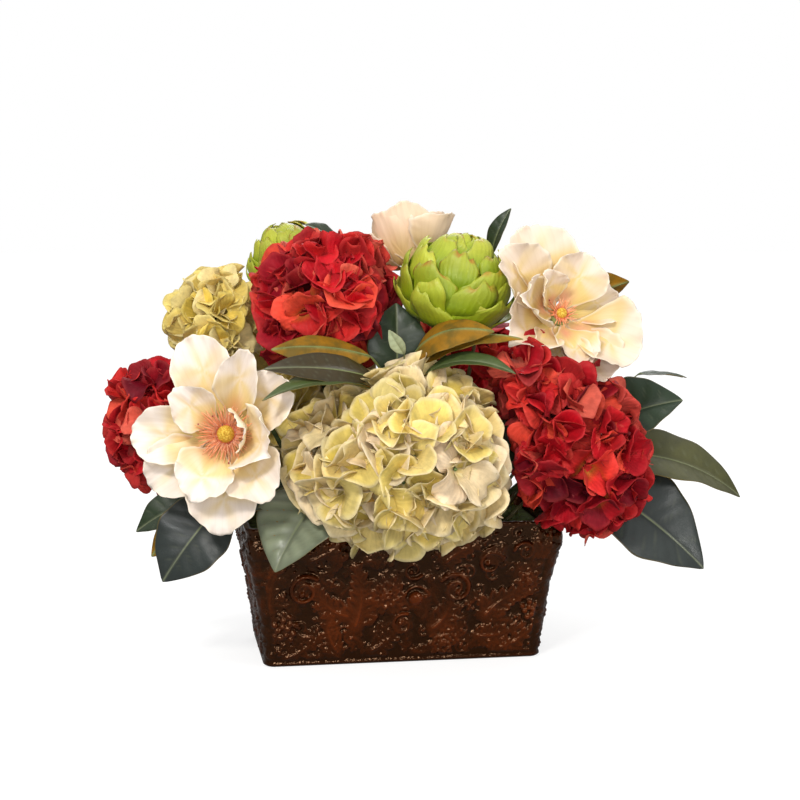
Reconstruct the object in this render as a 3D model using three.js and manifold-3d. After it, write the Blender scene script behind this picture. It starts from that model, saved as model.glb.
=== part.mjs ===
// Floral table centerpiece: silk hydrangea heads, magnolia blooms, artichokes and magnolia leaves,
// whose wired stems stand in a block of dry foam inside a flared rectangular planter.
// Millimetres. +Z is up, +X runs along the planter's long side and -Y is the front.
// The origin is the centre of the planter's flat underside.
import * as THREE from "three";
import { mergeVertices } from "three/addons/utils/BufferGeometryUtils.js";
import Module from "manifold-3d";

const wasm = await Module();
wasm.setup();
const { Manifold, Mesh } = wasm;

// ---------------------------------------------------------------- driving dimensions

const PLANTER = {
  height: 125,
  footX: 122, // half length of the foot
  footY: 60, // half width of the foot
  rimX: 138, // half length of the rim
  rimY: 77, // half width of the rim
  rimBand: 22, // height of the upright band below the rim
  wall: 5,
  floor: 7,
  corner: 10, // radius of the upright corners
};
const RELIEF_HEIGHT = 2.4; // how far the relief's main forms stand out of the planter's faces
const RELIEF_ROOT = 2; // how deep they are sunk into the wall
const FOAM_TOP = 112;
const FOAM_GAP = 0.6; // between the foam and the planter's walls
const STEM_DEPTH = 42; // how far a stem is pushed into the foam
const STEM_RADIUS = 2.4;
const TWIG_RADIUS = 1.7;
const CLEARANCE = 0.4; // between any two pieces that touch
const PETAL = 0.9; // thickness of floret and magnolia petals
const LEAF = 0.9;
const BRACT = 1.6; // thickness of an artichoke's bract
const BRACTS = 21; // on each artichoke
const STALK_RADIUS = 2; // of a floret's three-sided stalk
const FLORET_SHARE = 0.55; // a floret's reach as a share of the distance between florets
const EYE_DEPTH = -0.1; // of a floret, as a share of its reach
const CORE_SHARE = 0.68; // of a hydrangea's radius, for the core under its florets
const LAYERS = 7; // florets lie in this many layers, so that they lap without cutting each other
const LAYER_STEP = 0.028; // between two layers, as a share of the head's radius
const SEAT_TOP = 2.2; // the flat top of a magnolia's seat, above the bloom's centre
const SEAT_RADIUS = 9;
const WELL_DEPTH = 4.8; // open room above the seat for the stamens' ring and the cone
// One lobe's outline: turn from the lobe's middle, reach and lift, as shares of the floret's reach.
const LOBE = [[-0.785, 0.36, -0.03], [-0.42, 0.97, -0.04], [0.42, 1, 0.06]];
// Rows across a leaf's blade: how far along it, and the share of its full width.
const LARGE_LEAF = [[0.2, 0.66], [0.48, 1], [0.78, 0.72]];
const SMALL_LEAF = [[0.3, 0.86], [0.68, 0.84]];
const GOLDEN = Math.PI * (3 - Math.sqrt(5));

// The relief's main forms on each long and each short face: kind, place across and up the face, size, turn.
// A plume's place is its foot and its size its length; the others have a centre and a radius.
const RELIEF = {
  long: [
    ["flower", -18, 62, 19, 0], ["flower", 33, 17, 13, 0.3], ["flower", 108, 70, 13, 0.6],
    ["bud", 9, 58, 7, 0], ["bud", -104, 34, 11, 0],
    ["scroll", -88, 68, 15, 0.8], ["scroll", 44, 66, 15, 2.6], ["scroll", 74, 90, 12, 0.4],
    ["plume", -44, 34, 50, 1.57], ["plume", -60, 12, 34, 1.9], ["plume", -30, 12, 36, 0.75],
    ["plume", 24, 32, 38, 1.2], ["plume", 64, 24, 46, 0.4],
  ],
  short: [
    ["flower", 0, 64, 17, 0], ["bud", -54, 40, 8, 0], ["bud", 54, 40, 8, 0],
    ["scroll", -34, 74, 14, -0.6], ["scroll", 34, 74, 14, 0.6],
    ["plume", -10, 36, 36, 2.4], ["plume", 10, 36, 36, 0.74], ["plume", -24, 12, 30, 2.6], ["plume", 24, 12, 30, 0.54],
  ],
};
// Half of a plume's outline, from its foot to its tip: how far along it and how far to the side, as shares.
const PLUME = [[0.02, 0.05], [0.36, 0.2], [0.7, 0.16], [1, 0.03]];

const COLOURS = {
  glaze: [0x35150a, 0.25],
  foam: [0x4d5a38, 0.95],
  cream: [0xd9cf92, 0.75],
  olive: [0xc2b35f, 0.75],
  crimson: [0xa01722, 0.7],
  magnolia: [0xf2e4cc, 0.6],
  peach: [0xf0d3ad, 0.6],
  stamen: [0xe79563, 0.7],
  pistil: [0xe6c24a, 0.7],
  artichoke: [0x9db53a, 0.55],
  leaf: [0x3d4a38, 0.45],
  stem: [0x55602f, 0.7],
};

// Hydrangea heads. Each is a dome of florets round its axis, of this radius and out to this polar angle
// in degrees. stretch pulls the dome out along a direction by a factor. entry is where its stem meets
// the foam.
const HYDRANGEAS = [
  { name: "hydrangea_cream_front", colour: "cream", centre: [-8, -88, 186], radius: 105,
    axis: [-0.08, -0.97, 0.22], polar: 100, stretch: [[0, 0, 1], 0.85], florets: 22, entry: [0, -38], seed: 11 },
  { name: "hydrangea_red_top", colour: "crimson", centre: [-57, -3, 309], radius: 77,
    axis: [-0.15, -0.62, 0.77], polar: 116, stretch: [[0, 0, 1], 0.91], florets: 15, entry: [-24, -2], seed: 12 },
  { name: "hydrangea_red_right", colour: "crimson", centre: [134, -85, 191], radius: 73,
    axis: [0.35, -0.82, 0.45], polar: 110, stretch: [[-0.65, 0, 0.76], 1.3], florets: 17, entry: [64, -26],
    seed: 13 },
  { name: "hydrangea_red_left", colour: "crimson", centre: [-199, 32, 203], radius: 67,
    axis: [-0.8, -0.42, 0.42], polar: 112, stretch: [[0, 0, 1], 1.04], florets: 12, entry: [-96, 14], seed: 14 },
  { name: "hydrangea_olive_left", colour: "olive", centre: [-156, 50, 292], radius: 52, axis: [-0.6, -0.1, 0.8],
    polar: 112, stretch: [[0, 0, 1], 1.05], florets: 9, entry: [-62, 32], seed: 15 },
  { name: "hydrangea_cream_back", colour: "cream", centre: [-72, 112, 218], radius: 76, axis: [-0.3, 0.85, 0.42],
    polar: 108, stretch: [[0, 0, 1], 1], florets: 12, entry: [-40, 46], seed: 16 },
  { name: "hydrangea_red_back", colour: "crimson", centre: [78, 104, 226], radius: 76, axis: [0.4, 0.8, 0.45],
    polar: 108, stretch: [[0, 0, 1], 1], florets: 12, entry: [40, 44], seed: 17 },
];

// Artichoke heads: centre of the globe, its half width and half height, the way it points, and where its
// stem meets the foam.
const ARTICHOKES = [
  { name: "artichoke_centre", centre: [47, -46, 324], width: 50, height: 46, axis: [0.22, 0.02, 0.97],
    entry: [24, 14], spin: 0.3 },
  { name: "artichoke_back_left", centre: [-79, 96, 335], width: 41, height: 42, axis: [-0.3, 0.16, 0.94],
    entry: [-30, 20], spin: 1.1 },
];

// Magnolia blooms. Each petal: turn round the axis in degrees, length, width, lift from the bloom's flat
// plane at the root and at the tip in degrees, how deep it cups across, and how far below the innermost
// petals it leaves the seat.
const MAGNOLIAS = [
  { name: "magnolia_left", colour: "magnolia", centre: [-154, -86, 208], axis: [-0.17, -0.97, 0.2],
    entry: [-82, -22], stamens: 18, stamenLength: 18, coneRadius: 7, petals: [
      [184, 86, 50, 18, -2, 0.25, 3], [147, 68, 38, 42, 32, 0.25, 0], [109, 92, 58, 14, 6, 0.25, 4.5],
      [73, 84, 38, 36, 34, 0.3, 1.5], [38, 84, 44, 12, 34, 0.3, 4], [-12, 64, 46, 44, 62, 0.35, 2],
      [-52, 82, 46, 24, 28, 0.3, 3.5], [-90, 92, 58, 4, 2, 0.2, 5.5], [-118, 78, 46, 34, 26, 0.25, 1.5],
      [-148, 88, 48, 6, 0, 0.2, 5], [14, 48, 34, 66, 104, 0.4, 0],
    ] },
  { name: "magnolia_right", colour: "magnolia", centre: [134, -68, 302], axis: [0.12, -0.85, 0.5], entry: [62, 2],
    stamens: 8, stamenLength: 9, coneRadius: 4.5, petals: [
      [103, 82, 56, 20, 8, 0.3, 4], [54, 60, 44, 34, 24, 0.3, 1.5], [-6, 78, 58, 16, 8, 0.25, 4],
      [-48, 82, 50, 2, 2, 0.2, 5.5], [-72, 56, 38, 28, 22, 0.3, 1.5], [140, 70, 44, 24, 44, 0.3, 2.5],
      [124, 48, 30, 58, 64, 0.35, 0], [180, 48, 38, 44, 74, 0.35, 0.5], [216, 54, 42, 12, 20, 0.3, 4],
    ] },
  { name: "magnolia_back", colour: "peach", centre: [24, 42, 344], axis: [-0.2, 0.3, 0.93], entry: [10, 30],
    stamens: 8, stamenLength: 11, coneRadius: 5.5, petals: [
      [12, 62, 50, 36, 62, 0.35, 4], [60, 62, 52, 46, 78, 0.35, 1], [106, 62, 52, 38, 64, 0.35, 4],
      [154, 60, 48, 44, 66, 0.35, 1], [205, 58, 48, 26, 44, 0.3, 4], [258, 58, 48, 36, 54, 0.3, 1],
      [312, 60, 46, 26, 40, 0.3, 4], [340, 66, 36, 12, 16, 0.25, 6],
    ] },
];

// Sprigs of magnolia leaves. route is the twig from where it meets the foam to its fork. Each leaf grows
// from the fork: where its blade starts, its tip, its width, the way its glossy face looks, its arch, and
// the fold along its rib.
const SPRIGS = [
  { name: "sprig_centre_left", route: [[-12, -22], [-16, -38, 190], [-16, -54, 254]], leaves: [
    { base: [-32, -78, 270], tip: [-116, -84, 278], width: 34, face: [0.1, 0.75, -0.65], arch: -0.1, fold: 0.3 },
    { base: [-28, -82, 252], tip: [-124, -106, 264], width: 28, face: [-0.1, -0.8, 0.55], arch: 0.1, fold: 0.15 },
    { base: [-34, -94, 246], tip: [-127, -124, 240], width: 30, face: [0, -0.18, 0.98], arch: 0.1, fold: 0.2 },
  ] },
  { name: "sprig_centre_right", route: [[8, -24], [4, -40, 190], [1, -56, 256]], leaves: [
    { base: [6, -68, 268], tip: [67, -114, 293], width: 40, face: [-0.2, 0.7, -0.68], arch: -0.2, fold: 0.2 },
    { base: [10, -74, 262], tip: [90, -120, 287], width: 32, face: [-0.1, 0.35, -0.93], arch: -0.14, fold: 0.3 },
    { base: [12, -86, 254], tip: [82, -130, 259], width: 26, face: [0, -0.45, 0.9], arch: 0.16, fold: 0.25 },
    { base: [-3, -78, 272], tip: [-17, -84, 293], width: 12, face: [-0.4, -0.9, 0.1], arch: 0.05, fold: 0.2 },
    { base: [-4, -44, 262], tip: [-8, -34, 306], width: 40, face: [0, -0.95, 0.3], arch: 0.05, fold: 0.1 },
  ] },
  { name: "sprig_top", route: [[40, 12], [72, 14, 250], [84, 6, 335]], leaves: [
    { base: [87, -4, 352], tip: [103, -12, 393], width: 19, face: [-0.75, -0.6, 0.3], arch: 0.08, fold: 0.3 },
  ] },
  { name: "sprig_top_left", route: [[-10, 24], [-18, 58, 250], [-34, 66, 338]], leaves: [
    { base: [-38, 62, 354], tip: [-74, 46, 378], width: 24, face: [0.1, -0.45, 0.9], arch: 0.1, fold: 0.25 },
  ] },
  { name: "sprig_right_back", route: [[78, 14], [122, 14, 230], [148, -4, 300]], leaves: [
    { base: [158, -8, 308], tip: [203, -18, 328], width: 38, face: [-0.25, 0.85, 0.45], arch: 0.06, fold: 0.2 },
  ] },
  { name: "sprig_right_upper", route: [[94, 0], [134, -4, 165], [170, -10, 196]], leaves: [
    { base: [184, -26, 200], tip: [252, -48, 224], width: 64, face: [0.1, -0.7, 0.7], arch: 0.08, fold: 0.3 },
    { base: [222, -6, 243], tip: [267, -12, 240], width: 18, face: [0, -0.1, 0.99], arch: 0.05, fold: 0.1 },
  ] },
  { name: "sprig_right_lower", route: [[96, -20], [128, -28, 146], [152, -32, 160]], leaves: [
    { base: [168, -44, 154], tip: [264, -78, 78], width: 84, face: [0.2, -0.85, 0.5], arch: 0.08, fold: 0.15 },
    { base: [180, -26, 176], tip: [312, -34, 133], width: 54, face: [0.15, -0.6, 0.78], arch: 0.14, fold: 0.2 },
  ] },
  { name: "sprig_left_low", route: [[-98, -16], [-126, -22, 142], [-146, -28, 150]], leaves: [
    { base: [-152, -48, 148], tip: [-208, -60, 79], width: 66, face: [-0.25, -0.9, 0.3], arch: 0.12, fold: 0.15 },
    { base: [-168, -28, 146], tip: [-229, -20, 115], width: 36, face: [-0.3, -0.7, 0.6], arch: 0.1, fold: 0.2 },
    { base: [-166, -12, 142], tip: [-216, -2, 89], width: 34, face: [0.4, 0.85, -0.2], arch: -0.1, fold: 0.2 },
  ] },
  { name: "sprig_front", route: [[-56, -34], [-62, -44, 140], [-66, -52, 156]], leaves: [
    { base: [-70, -66, 154], tip: [-123, -114, 96], width: 84, face: [-0.4, -0.55, 0.6], arch: 0.1, fold: 0.12 },
    { base: [-94, -54, 160], tip: [-146, -70, 136], width: 34, face: [-0.2, -0.5, 0.8], arch: 0.05, fold: 0.2 },
  ] },
  { name: "sprig_back_left", route: [[-84, 26], [-110, 48, 146], [-122, 60, 152]], leaves: [
    { base: [-138, 70, 152], tip: [-207, 104, 92], width: 56, face: [-0.5, 0.5, 0.7], arch: 0.14, fold: 0.2 },
    { base: [-124, 78, 144], tip: [-156, 142, 94], width: 54, face: [-0.2, 0.8, 0.55], arch: 0.14, fold: 0.2 },
  ] },
  { name: "sprig_back_middle", route: [[0, 42], [2, 62, 140], [3, 74, 146]], leaves: [
    { base: [-8, 86, 144], tip: [-36, 158, 96], width: 54, face: [-0.1, 0.6, 0.8], arch: 0.16, fold: 0.2 },
    { base: [14, 86, 144], tip: [52, 156, 94], width: 54, face: [0.15, 0.6, 0.8], arch: 0.16, fold: 0.2 },
  ] },
  { name: "sprig_back_right", route: [[92, 28], [122, 48, 148], [138, 56, 158]], leaves: [
    { base: [154, 64, 158], tip: [226, 86, 112], width: 56, face: [0.5, 0.3, 0.8], arch: 0.16, fold: 0.2 },
    { base: [144, 74, 150], tip: [174, 148, 102], width: 52, face: [0.2, 0.75, 0.6], arch: 0.14, fold: 0.2 },
    { base: [162, 46, 176], tip: [230, 28, 190], width: 46, face: [0.2, 0.5, 0.85], arch: 0.12, fold: 0.2 },
  ] },
  { name: "sprig_back_top", route: [[16, 38], [8, 56, 230], [2, 70, 288]], leaves: [
    { base: [-10, 84, 300], tip: [-46, 144, 308], width: 40, face: [-0.2, 0.3, 0.93], arch: 0.14, fold: 0.25 },
    { base: [14, 84, 300], tip: [52, 148, 310], width: 42, face: [0.2, 0.3, 0.93], arch: 0.14, fold: 0.25 },
    { base: [2, 90, 286], tip: [6, 160, 266], width: 38, face: [0, 0.5, 0.85], arch: 0.16, fold: 0.25 },
  ] },
];

// Balls that the hydrangea domes are pressed back from: the magnolias, and the larger leaves under their
// edges.
const GUARDS = [
  { centre: [156, -60, 312], radius: 46 },
  { centre: [-146, -96, 208], radius: 40 },
  { centre: [-78, -112, 270], radius: 40 },
  { centre: [50, -116, 284], radius: 22 },
];

// ---------------------------------------------------------------- small helpers

const V = (x, y, z) => new THREE.Vector3(x, y, z);
const V2 = (x, y) => new THREE.Vector2(x, y);
const vectorOf = (list) => V(...list);
const radians = THREE.MathUtils.degToRad;

// A repeatable stream of numbers from 0 to 1.
function seeded(seed) {
  let state = seed;
  return () => {
    state = (state + 0x6d2b79f5) | 0;
    let mixed = Math.imul(state ^ (state >>> 15), 1 | state);
    mixed = (mixed + Math.imul(mixed ^ (mixed >>> 7), 61 | mixed)) ^ mixed;
    return ((mixed ^ (mixed >>> 14)) >>> 0) / 4294967296;
  };
}

// Three unit vectors with the third along axis and the first level with the ground where it can be.
function frameAlong(axis) {
  const up = axis.clone().normalize();
  const hint = Math.abs(up.z) > 0.98 ? V(1, 0, 0) : V(0, 0, 1);
  const side = V().crossVectors(hint, up).normalize();
  return { x: side, y: V().crossVectors(up, side), z: up };
}

function toWorld(frame, origin, x, y, z) {
  return origin.clone().addScaledVector(frame.x, x).addScaledVector(frame.y, y).addScaledVector(frame.z, z);
}

function solidFrom(points, faces) {
  const vertProperties = new Float32Array(points.flatMap((p) => [p.x, p.y, p.z]));
  return new Manifold(new Mesh({ numProp: 3, vertProperties, triVerts: new Uint32Array(faces.flat()) }));
}

function solidFromGeometry(geometry) {
  const bare = geometry.clone();
  bare.deleteAttribute("normal");
  bare.deleteAttribute("uv");
  const merged = mergeVertices(bare, 1e-4);
  const triVerts = new Uint32Array(merged.index.array);
  return new Manifold(new Mesh({ numProp: 3, vertProperties: merged.attributes.position.array, triVerts }));
}

function largestPiece(solid) {
  return solid.decompose().reduce((best, piece) => (piece.volume() > best.volume() ? piece : best));
}

function boxesMeet(a, b) {
  return [0, 1, 2].every((i) => a.min[i] < b.max[i] && b.min[i] < a.max[i]);
}

// Takes away the cutters that reach a solid, then drops the scraps.
function clearOf(solid, cutters) {
  const near = cutters.filter((cutter) => boxesMeet(solid.boundingBox(), cutter.boundingBox()));
  return near.length ? largestPiece(Manifold.difference([solid, ...near])) : solid;
}

// Joins two rows of points, which may differ in number, with triangles that face across x along.
function zipRows(lower, upper) {
  const faces = [];
  let i = 0;
  let j = 0;
  while (i < lower.length - 1 || j < upper.length - 1) {
    const nextLower = lower.length > 1 ? (i + 1) / (lower.length - 1) : Infinity;
    const nextUpper = upper.length > 1 ? (j + 1) / (upper.length - 1) : Infinity;
    if (nextLower <= nextUpper) {
      faces.push([lower[i], lower[i + 1], upper[j]]);
      i += 1;
    } else {
      faces.push([lower[i], upper[j + 1], upper[j]]);
      j += 1;
    }
  }
  return faces;
}

function normalsOf(points, faces) {
  const normals = points.map(() => V(0, 0, 0));
  for (const [a, b, c] of faces) {
    const normal = V().crossVectors(V().subVectors(points[b], points[a]), V().subVectors(points[c], points[a]));
    [a, b, c].forEach((id) => normals[id].add(normal));
  }
  return normals.map((normal) => normal.normalize());
}

// A thin closed blade of even thickness about rows of points that run from its root to its tip.
function bladeFrom(rows, thickness) {
  const middle = rows.flat();
  let count = 0;
  const ids = rows.map((row) => row.map(() => count++));
  const faces = ids.slice(1).flatMap((row, k) => zipRows(ids[k], row));
  const normals = normalsOf(middle, faces);
  const top = middle.map((p, id) => p.clone().addScaledVector(normals[id], thickness / 2));
  const bottom = middle.map((p, id) => p.clone().addScaledVector(normals[id], -thickness / 2));
  const first = ids[0];
  const last = ids[ids.length - 1];
  const right = ids.slice(1, -1).map((row) => row[row.length - 1]);
  const left = ids.slice(1, -1).map((row) => row[0]).reverse();
  const rim = [...first, ...right, ...[...last].reverse(), ...left];
  const walls = rim.flatMap((p, k) => {
    const q = rim[(k + 1) % rim.length];
    return [[count + p, count + q, q], [count + p, q, p]];
  });
  const under = faces.map(([a, b, c]) => [count + a, count + c, count + b]);
  return solidFrom([...top, ...bottom], [...faces, ...under, ...walls]);
}

// A round rod along a smooth line through points.
function rodAlong(points, radius, steps, sides = 6) {
  const turns = [...Array(sides).keys()].map((k) => (k * 2 * Math.PI) / sides);
  const section = new THREE.Shape(turns.map((a) => V2(radius * Math.cos(a), radius * Math.sin(a))));
  const path = points.length > 2 ? new THREE.CatmullRomCurve3(points) : new THREE.LineCurve3(...points);
  return solidFromGeometry(new THREE.ExtrudeGeometry(section, { steps, extrudePath: path, curveSegments: 1 }));
}

// A turned solid whose own axis lies along frame.z at centre, and whose points shape may move.
function placedLathe(profile, sides, frame, centre, shape = (p) => p) {
  const lathe = new THREE.LatheGeometry(profile, sides);
  const place = lathe.attributes.position;
  for (let k = 0; k < place.count; k++) {
    // A lathe turns about Y.
    const p = shape(toWorld(frame, centre, place.getX(k), -place.getZ(k), place.getY(k)));
    place.setXYZ(k, p.x, p.y, p.z);
  }
  return solidFromGeometry(lathe);
}

// ---------------------------------------------------------------- planter and foam

// Half length and half width of the planter's outer face at a height: it flares in a shallow hollow curve.
function planterHalf(z) {
  const share = THREE.MathUtils.clamp(z / (PLANTER.height - PLANTER.rimBand), 0, 1);
  const flare = 0.45 * share + 0.55 * share ** 2.4;
  return [
    THREE.MathUtils.lerp(PLANTER.footX, PLANTER.rimX, flare),
    THREE.MathUtils.lerp(PLANTER.footY, PLANTER.rimY, flare),
  ];
}

// One level loop with round corners, inset from the outer face.
function planterLoop(z, inset) {
  const [halfX, halfY] = planterHalf(z).map((half) => half - inset);
  const radius = Math.max(PLANTER.corner - inset, 3);
  const perCorner = 3;
  const loop = [];
  [[1, 1, 0], [-1, 1, 1], [-1, -1, 2], [1, -1, 3]].forEach(([sx, sy, quarter]) => {
    for (let k = 0; k <= perCorner; k++) {
      const angle = ((quarter + k / perCorner) * Math.PI) / 2;
      const x = sx * (halfX - radius) + radius * Math.cos(angle);
      const y = sy * (halfY - radius) + radius * Math.sin(angle);
      loop.push(V(x, y, z));
    }
  });
  return loop;
}

function stackOfLoops(loops) {
  const points = loops.flat();
  const n = loops[0].length;
  const faces = [];
  for (let level = 0; level < loops.length - 1; level++) {
    for (let k = 0; k < n; k++) {
      const [a, b] = [level * n + k, level * n + ((k + 1) % n)];
      faces.push([a, b, b + n], [a, b + n, a + n]);
    }
  }
  const centreOf = (loop) => V(0, 0, loop[0].z);
  const [foot, top] = [points.length, points.length + 1];
  const lastRow = (loops.length - 1) * n;
  points.push(centreOf(loops[0]), centreOf(loops[loops.length - 1]));
  for (let k = 0; k < n; k++) {
    const next = (k + 1) % n;
    faces.push([foot, next, k], [top, lastRow + k, lastRow + next]);
  }
  return solidFrom(points, faces);
}

// The outline of one form of the relief, grown a little for the room it needs.
function reliefOutline(kind, size, turn, grow) {
  const polar = (radius, angle) => [radius * Math.cos(angle + turn), radius * Math.sin(angle + turn)];
  const around = (count, radiusAt) =>
    [...Array(count).keys()].map((k) => polar(radiusAt(k), (k * 2 * Math.PI) / count));
  if (kind === "flower") return around(10, (k) => size * (k % 2 ? 0.66 : 1) + grow);
  if (kind === "bud") return around(5, () => size + grow);
  if (kind === "scroll") {
    const arc = (radius, count) =>
      [...Array(count).keys()].map((k) => polar(radius, (k / (count - 1)) * 1.5 * Math.PI));
    return [...arc(size + grow, 5), ...arc(0.5 * size - grow, 3).reverse()];
  }
  const side = (sign) => PLUME.map(([along, out]) => [size * along, sign * (size * out + grow)]);
  const [c, s] = [Math.cos(turn), Math.sin(turn)];
  return [...side(-1), ...side(1).reverse()].map(([x, y]) => [x * c - y * s, x * s + y * c]);
}

// The forms on all four faces, each a low block with its root in the wall.
function reliefSolids(grow = 0) {
  const faces = [[V(1, 0, 0), 1, RELIEF.long], [V(0, 1, 0), 0, RELIEF.short]];
  return faces.flatMap(([across, wide, forms]) => [1, -1].flatMap((sign) => forms.map(([kind, x, z, size, turn]) => {
    const slope = (planterHalf(z + 10)[wide] - planterHalf(z - 10)[wide]) / 20;
    const level = V().crossVectors(across, V(0, 0, 1)).multiplyScalar(sign);
    const run = across.clone().multiplyScalar(sign);
    const out = level.clone().add(V(0, 0, -slope)).normalize();
    const up = V().crossVectors(out, run);
    const place = level.clone().multiplyScalar(planterHalf(z)[wide]).addScaledVector(run, x).add(V(0, 0, z));
    const foot = place.addScaledVector(out, -RELIEF_ROOT);
    const taper = kind === "scroll" ? 1 : 0.8;
    const block = Manifold.extrude(
      [reliefOutline(kind, size, turn, grow)], RELIEF_ROOT + RELIEF_HEIGHT + grow, 0, 0, [taper, taper]);
    return block.transform(new THREE.Matrix4().makeBasis(run, up, out).setPosition(foot).toArray());
  })));
}

function planterSolid() {
  const { height, wall, floor, rimBand } = PLANTER;
  const bandFoot = height - rimBand;
  const outside = [0, 4, 28, 56, 82, bandFoot, height - 1.5].map((z) => planterLoop(z, z === 0 ? 1.5 : 0));
  const rim = [planterLoop(height, 1.5), planterLoop(height, wall - 1)];
  const inside = [bandFoot, 56, 28, floor].map((z) => planterLoop(z, wall));
  return Manifold.union([stackOfLoops([...outside, ...rim, ...inside]), ...reliefSolids()]);
}

function foamSolid(holes) {
  const inset = PLANTER.wall + FOAM_GAP;
  const levels = [PLANTER.floor + CLEARANCE, 28, 56, PLANTER.height - PLANTER.rimBand, FOAM_TOP];
  return clearOf(stackOfLoops(levels.map((z) => planterLoop(z, inset))), holes);
}

// ---------------------------------------------------------------- stems

// A stem from a point up in the arrangement, straight down its own line into the foam.
function stemSolids(head, [x, y], radius, bend = null) {
  const entry = V(x, y, FOAM_TOP);
  const last = bend ?? head;
  const down = V().subVectors(entry, last).normalize();
  const foot = entry.clone().addScaledVector(down, STEM_DEPTH / Math.max(0.6, -down.z));
  foot.z = Math.max(foot.z, PLANTER.floor + 8);
  const line = bend ? [head, bend, entry, foot] : [head, foot];
  const steps = bend ? 4 : 1;
  return { stem: rodAlong(line, radius, steps), hole: rodAlong(line, (radius + CLEARANCE) * Math.SQRT2, steps, 4) };
}

// ---------------------------------------------------------------- hydrangeas

// Maps a point of a round dome to its place: stretched, and squeezed where a neighbour shares its room.
function shapeOf(head) {
  const centre = vectorOf(head.centre);
  const [pull, factor] = head.stretch;
  const along = vectorOf(pull).normalize();
  const soft = HYDRANGEAS.filter((other) => other !== head);
  const hard = [...ARTICHOKES.map((globe) => ({ centre: globe.centre, radius: globe.width + 3 })), ...GUARDS];
  const presses = [...soft, ...hard].flatMap((other) => {
    const gap = V().subVectors(vectorOf(other.centre), centre);
    const apart = gap.length();
    gap.normalize();
    const reach = head.radius * (1 + (factor - 1) * gap.dot(along) ** 2);
    const shared = (apart ** 2 + reach ** 2 - other.radius ** 2) / (2 * apart);
    const room = (hard.includes(other) ? apart - other.radius : shared) - 1.5;
    return room < reach ? [{ normal: gap, room }] : [];
  });
  return (point) => {
    const p = V().subVectors(point, centre);
    p.addScaledVector(along, (factor - 1) * p.dot(along));
    for (const { normal, room } of presses) {
      const free = 0.6 * room;
      const over = p.dot(normal) - free;
      const soft = room - free;
      if (over > 0) p.addScaledVector(normal, soft * (1 - Math.exp(-over / soft)) - over);
    }
    return p.add(centre);
  };
}

// One floret: a thin pinwheel of four lobes bent over the dome, on a three-sided stalk that ends inside the core.
function floretSolid(head, shape, { out, reach, size, spin }) {
  const frame = frameAlong(out);
  const centre = vectorOf(head.centre);
  const onDome = (angle, away, lift) => {
    const p = toWorld(frame, V(0, 0, 0), away * Math.cos(angle), away * Math.sin(angle), reach);
    return shape(p.setLength(reach + lift).add(centre));
  };
  const middle = [];
  for (let lobe = 0; lobe < 4; lobe++) {
    for (const [turn, away, lift] of LOBE) {
      middle.push(onDome(spin + (lobe * Math.PI) / 2 + turn, away * size, lift * size));
    }
  }
  const n = middle.length;
  middle.push(onDome(0, 0, EYE_DEPTH * size));
  const fan = [...Array(n).keys()].map((k) => [n, k, (k + 1) % n]);
  const normals = normalsOf(middle, fan);
  const top = middle.map((p, k) => p.clone().addScaledVector(normals[k], PETAL / 2));
  const bottom = middle.slice(0, n).map((p, k) => p.clone().addScaledVector(normals[k], -PETAL / 2));
  const root = out.clone().addScaledVector(vectorOf(head.axis).normalize(), 0.35).setLength(0.5 * head.radius);
  const collar = [0, 1, 2].map((k) => toWorld(frame, middle[n], ...stalkCorner(spin + (k * 2 * Math.PI) / 3), -PETAL));
  const sunk = V().subVectors(shape(root.add(centre)), middle[n]);
  const ends = collar.map((p) => p.clone().add(sunk));
  const faces = [...fan];
  for (let k = 0; k < n; k++) {
    const next = (k + 1) % n;
    faces.push([n + 1 + k, n + 1 + next, next], [n + 1 + k, next, k]);
  }
  const [under, ring, foot] = [n + 1, 2 * n + 1, 2 * n + 4];
  for (let side = 0; side < 3; side++) {
    const after = (side + 1) % 3;
    for (let k = 0; k < n / 3; k++) {
      const first = (side * n) / 3 + k;
      faces.push([ring + side, under + ((first + 1) % n), under + first]);
    }
    faces.push([ring + side, ring + after, under + ((after * n) / 3)]);
    faces.push([ring + side, foot + side, ring + after], [ring + after, foot + side, foot + after]);
  }
  faces.push([foot, foot + 2, foot + 1]);
  return solidFrom([...top, ...bottom, ...collar, ...ends], faces);
}

function stalkCorner(angle) {
  return [STALK_RADIUS * Math.cos(angle), STALK_RADIUS * Math.sin(angle)];
}

// The core that the florets stand out of: a smaller dome with a flat back.
function hydrangeaCore(head, frame, shape) {
  const reach = CORE_SHARE * head.radius;
  const profile = [[0, -0.22], [0.92, -0.2], [0.97, 0.25], [0.72, 0.7], [0, 1]];
  const points = profile.map(([away, rise]) => V2(away * reach, rise * reach));
  return placedLathe(points, 8, frame, vectorOf(head.centre), shape);
}

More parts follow.
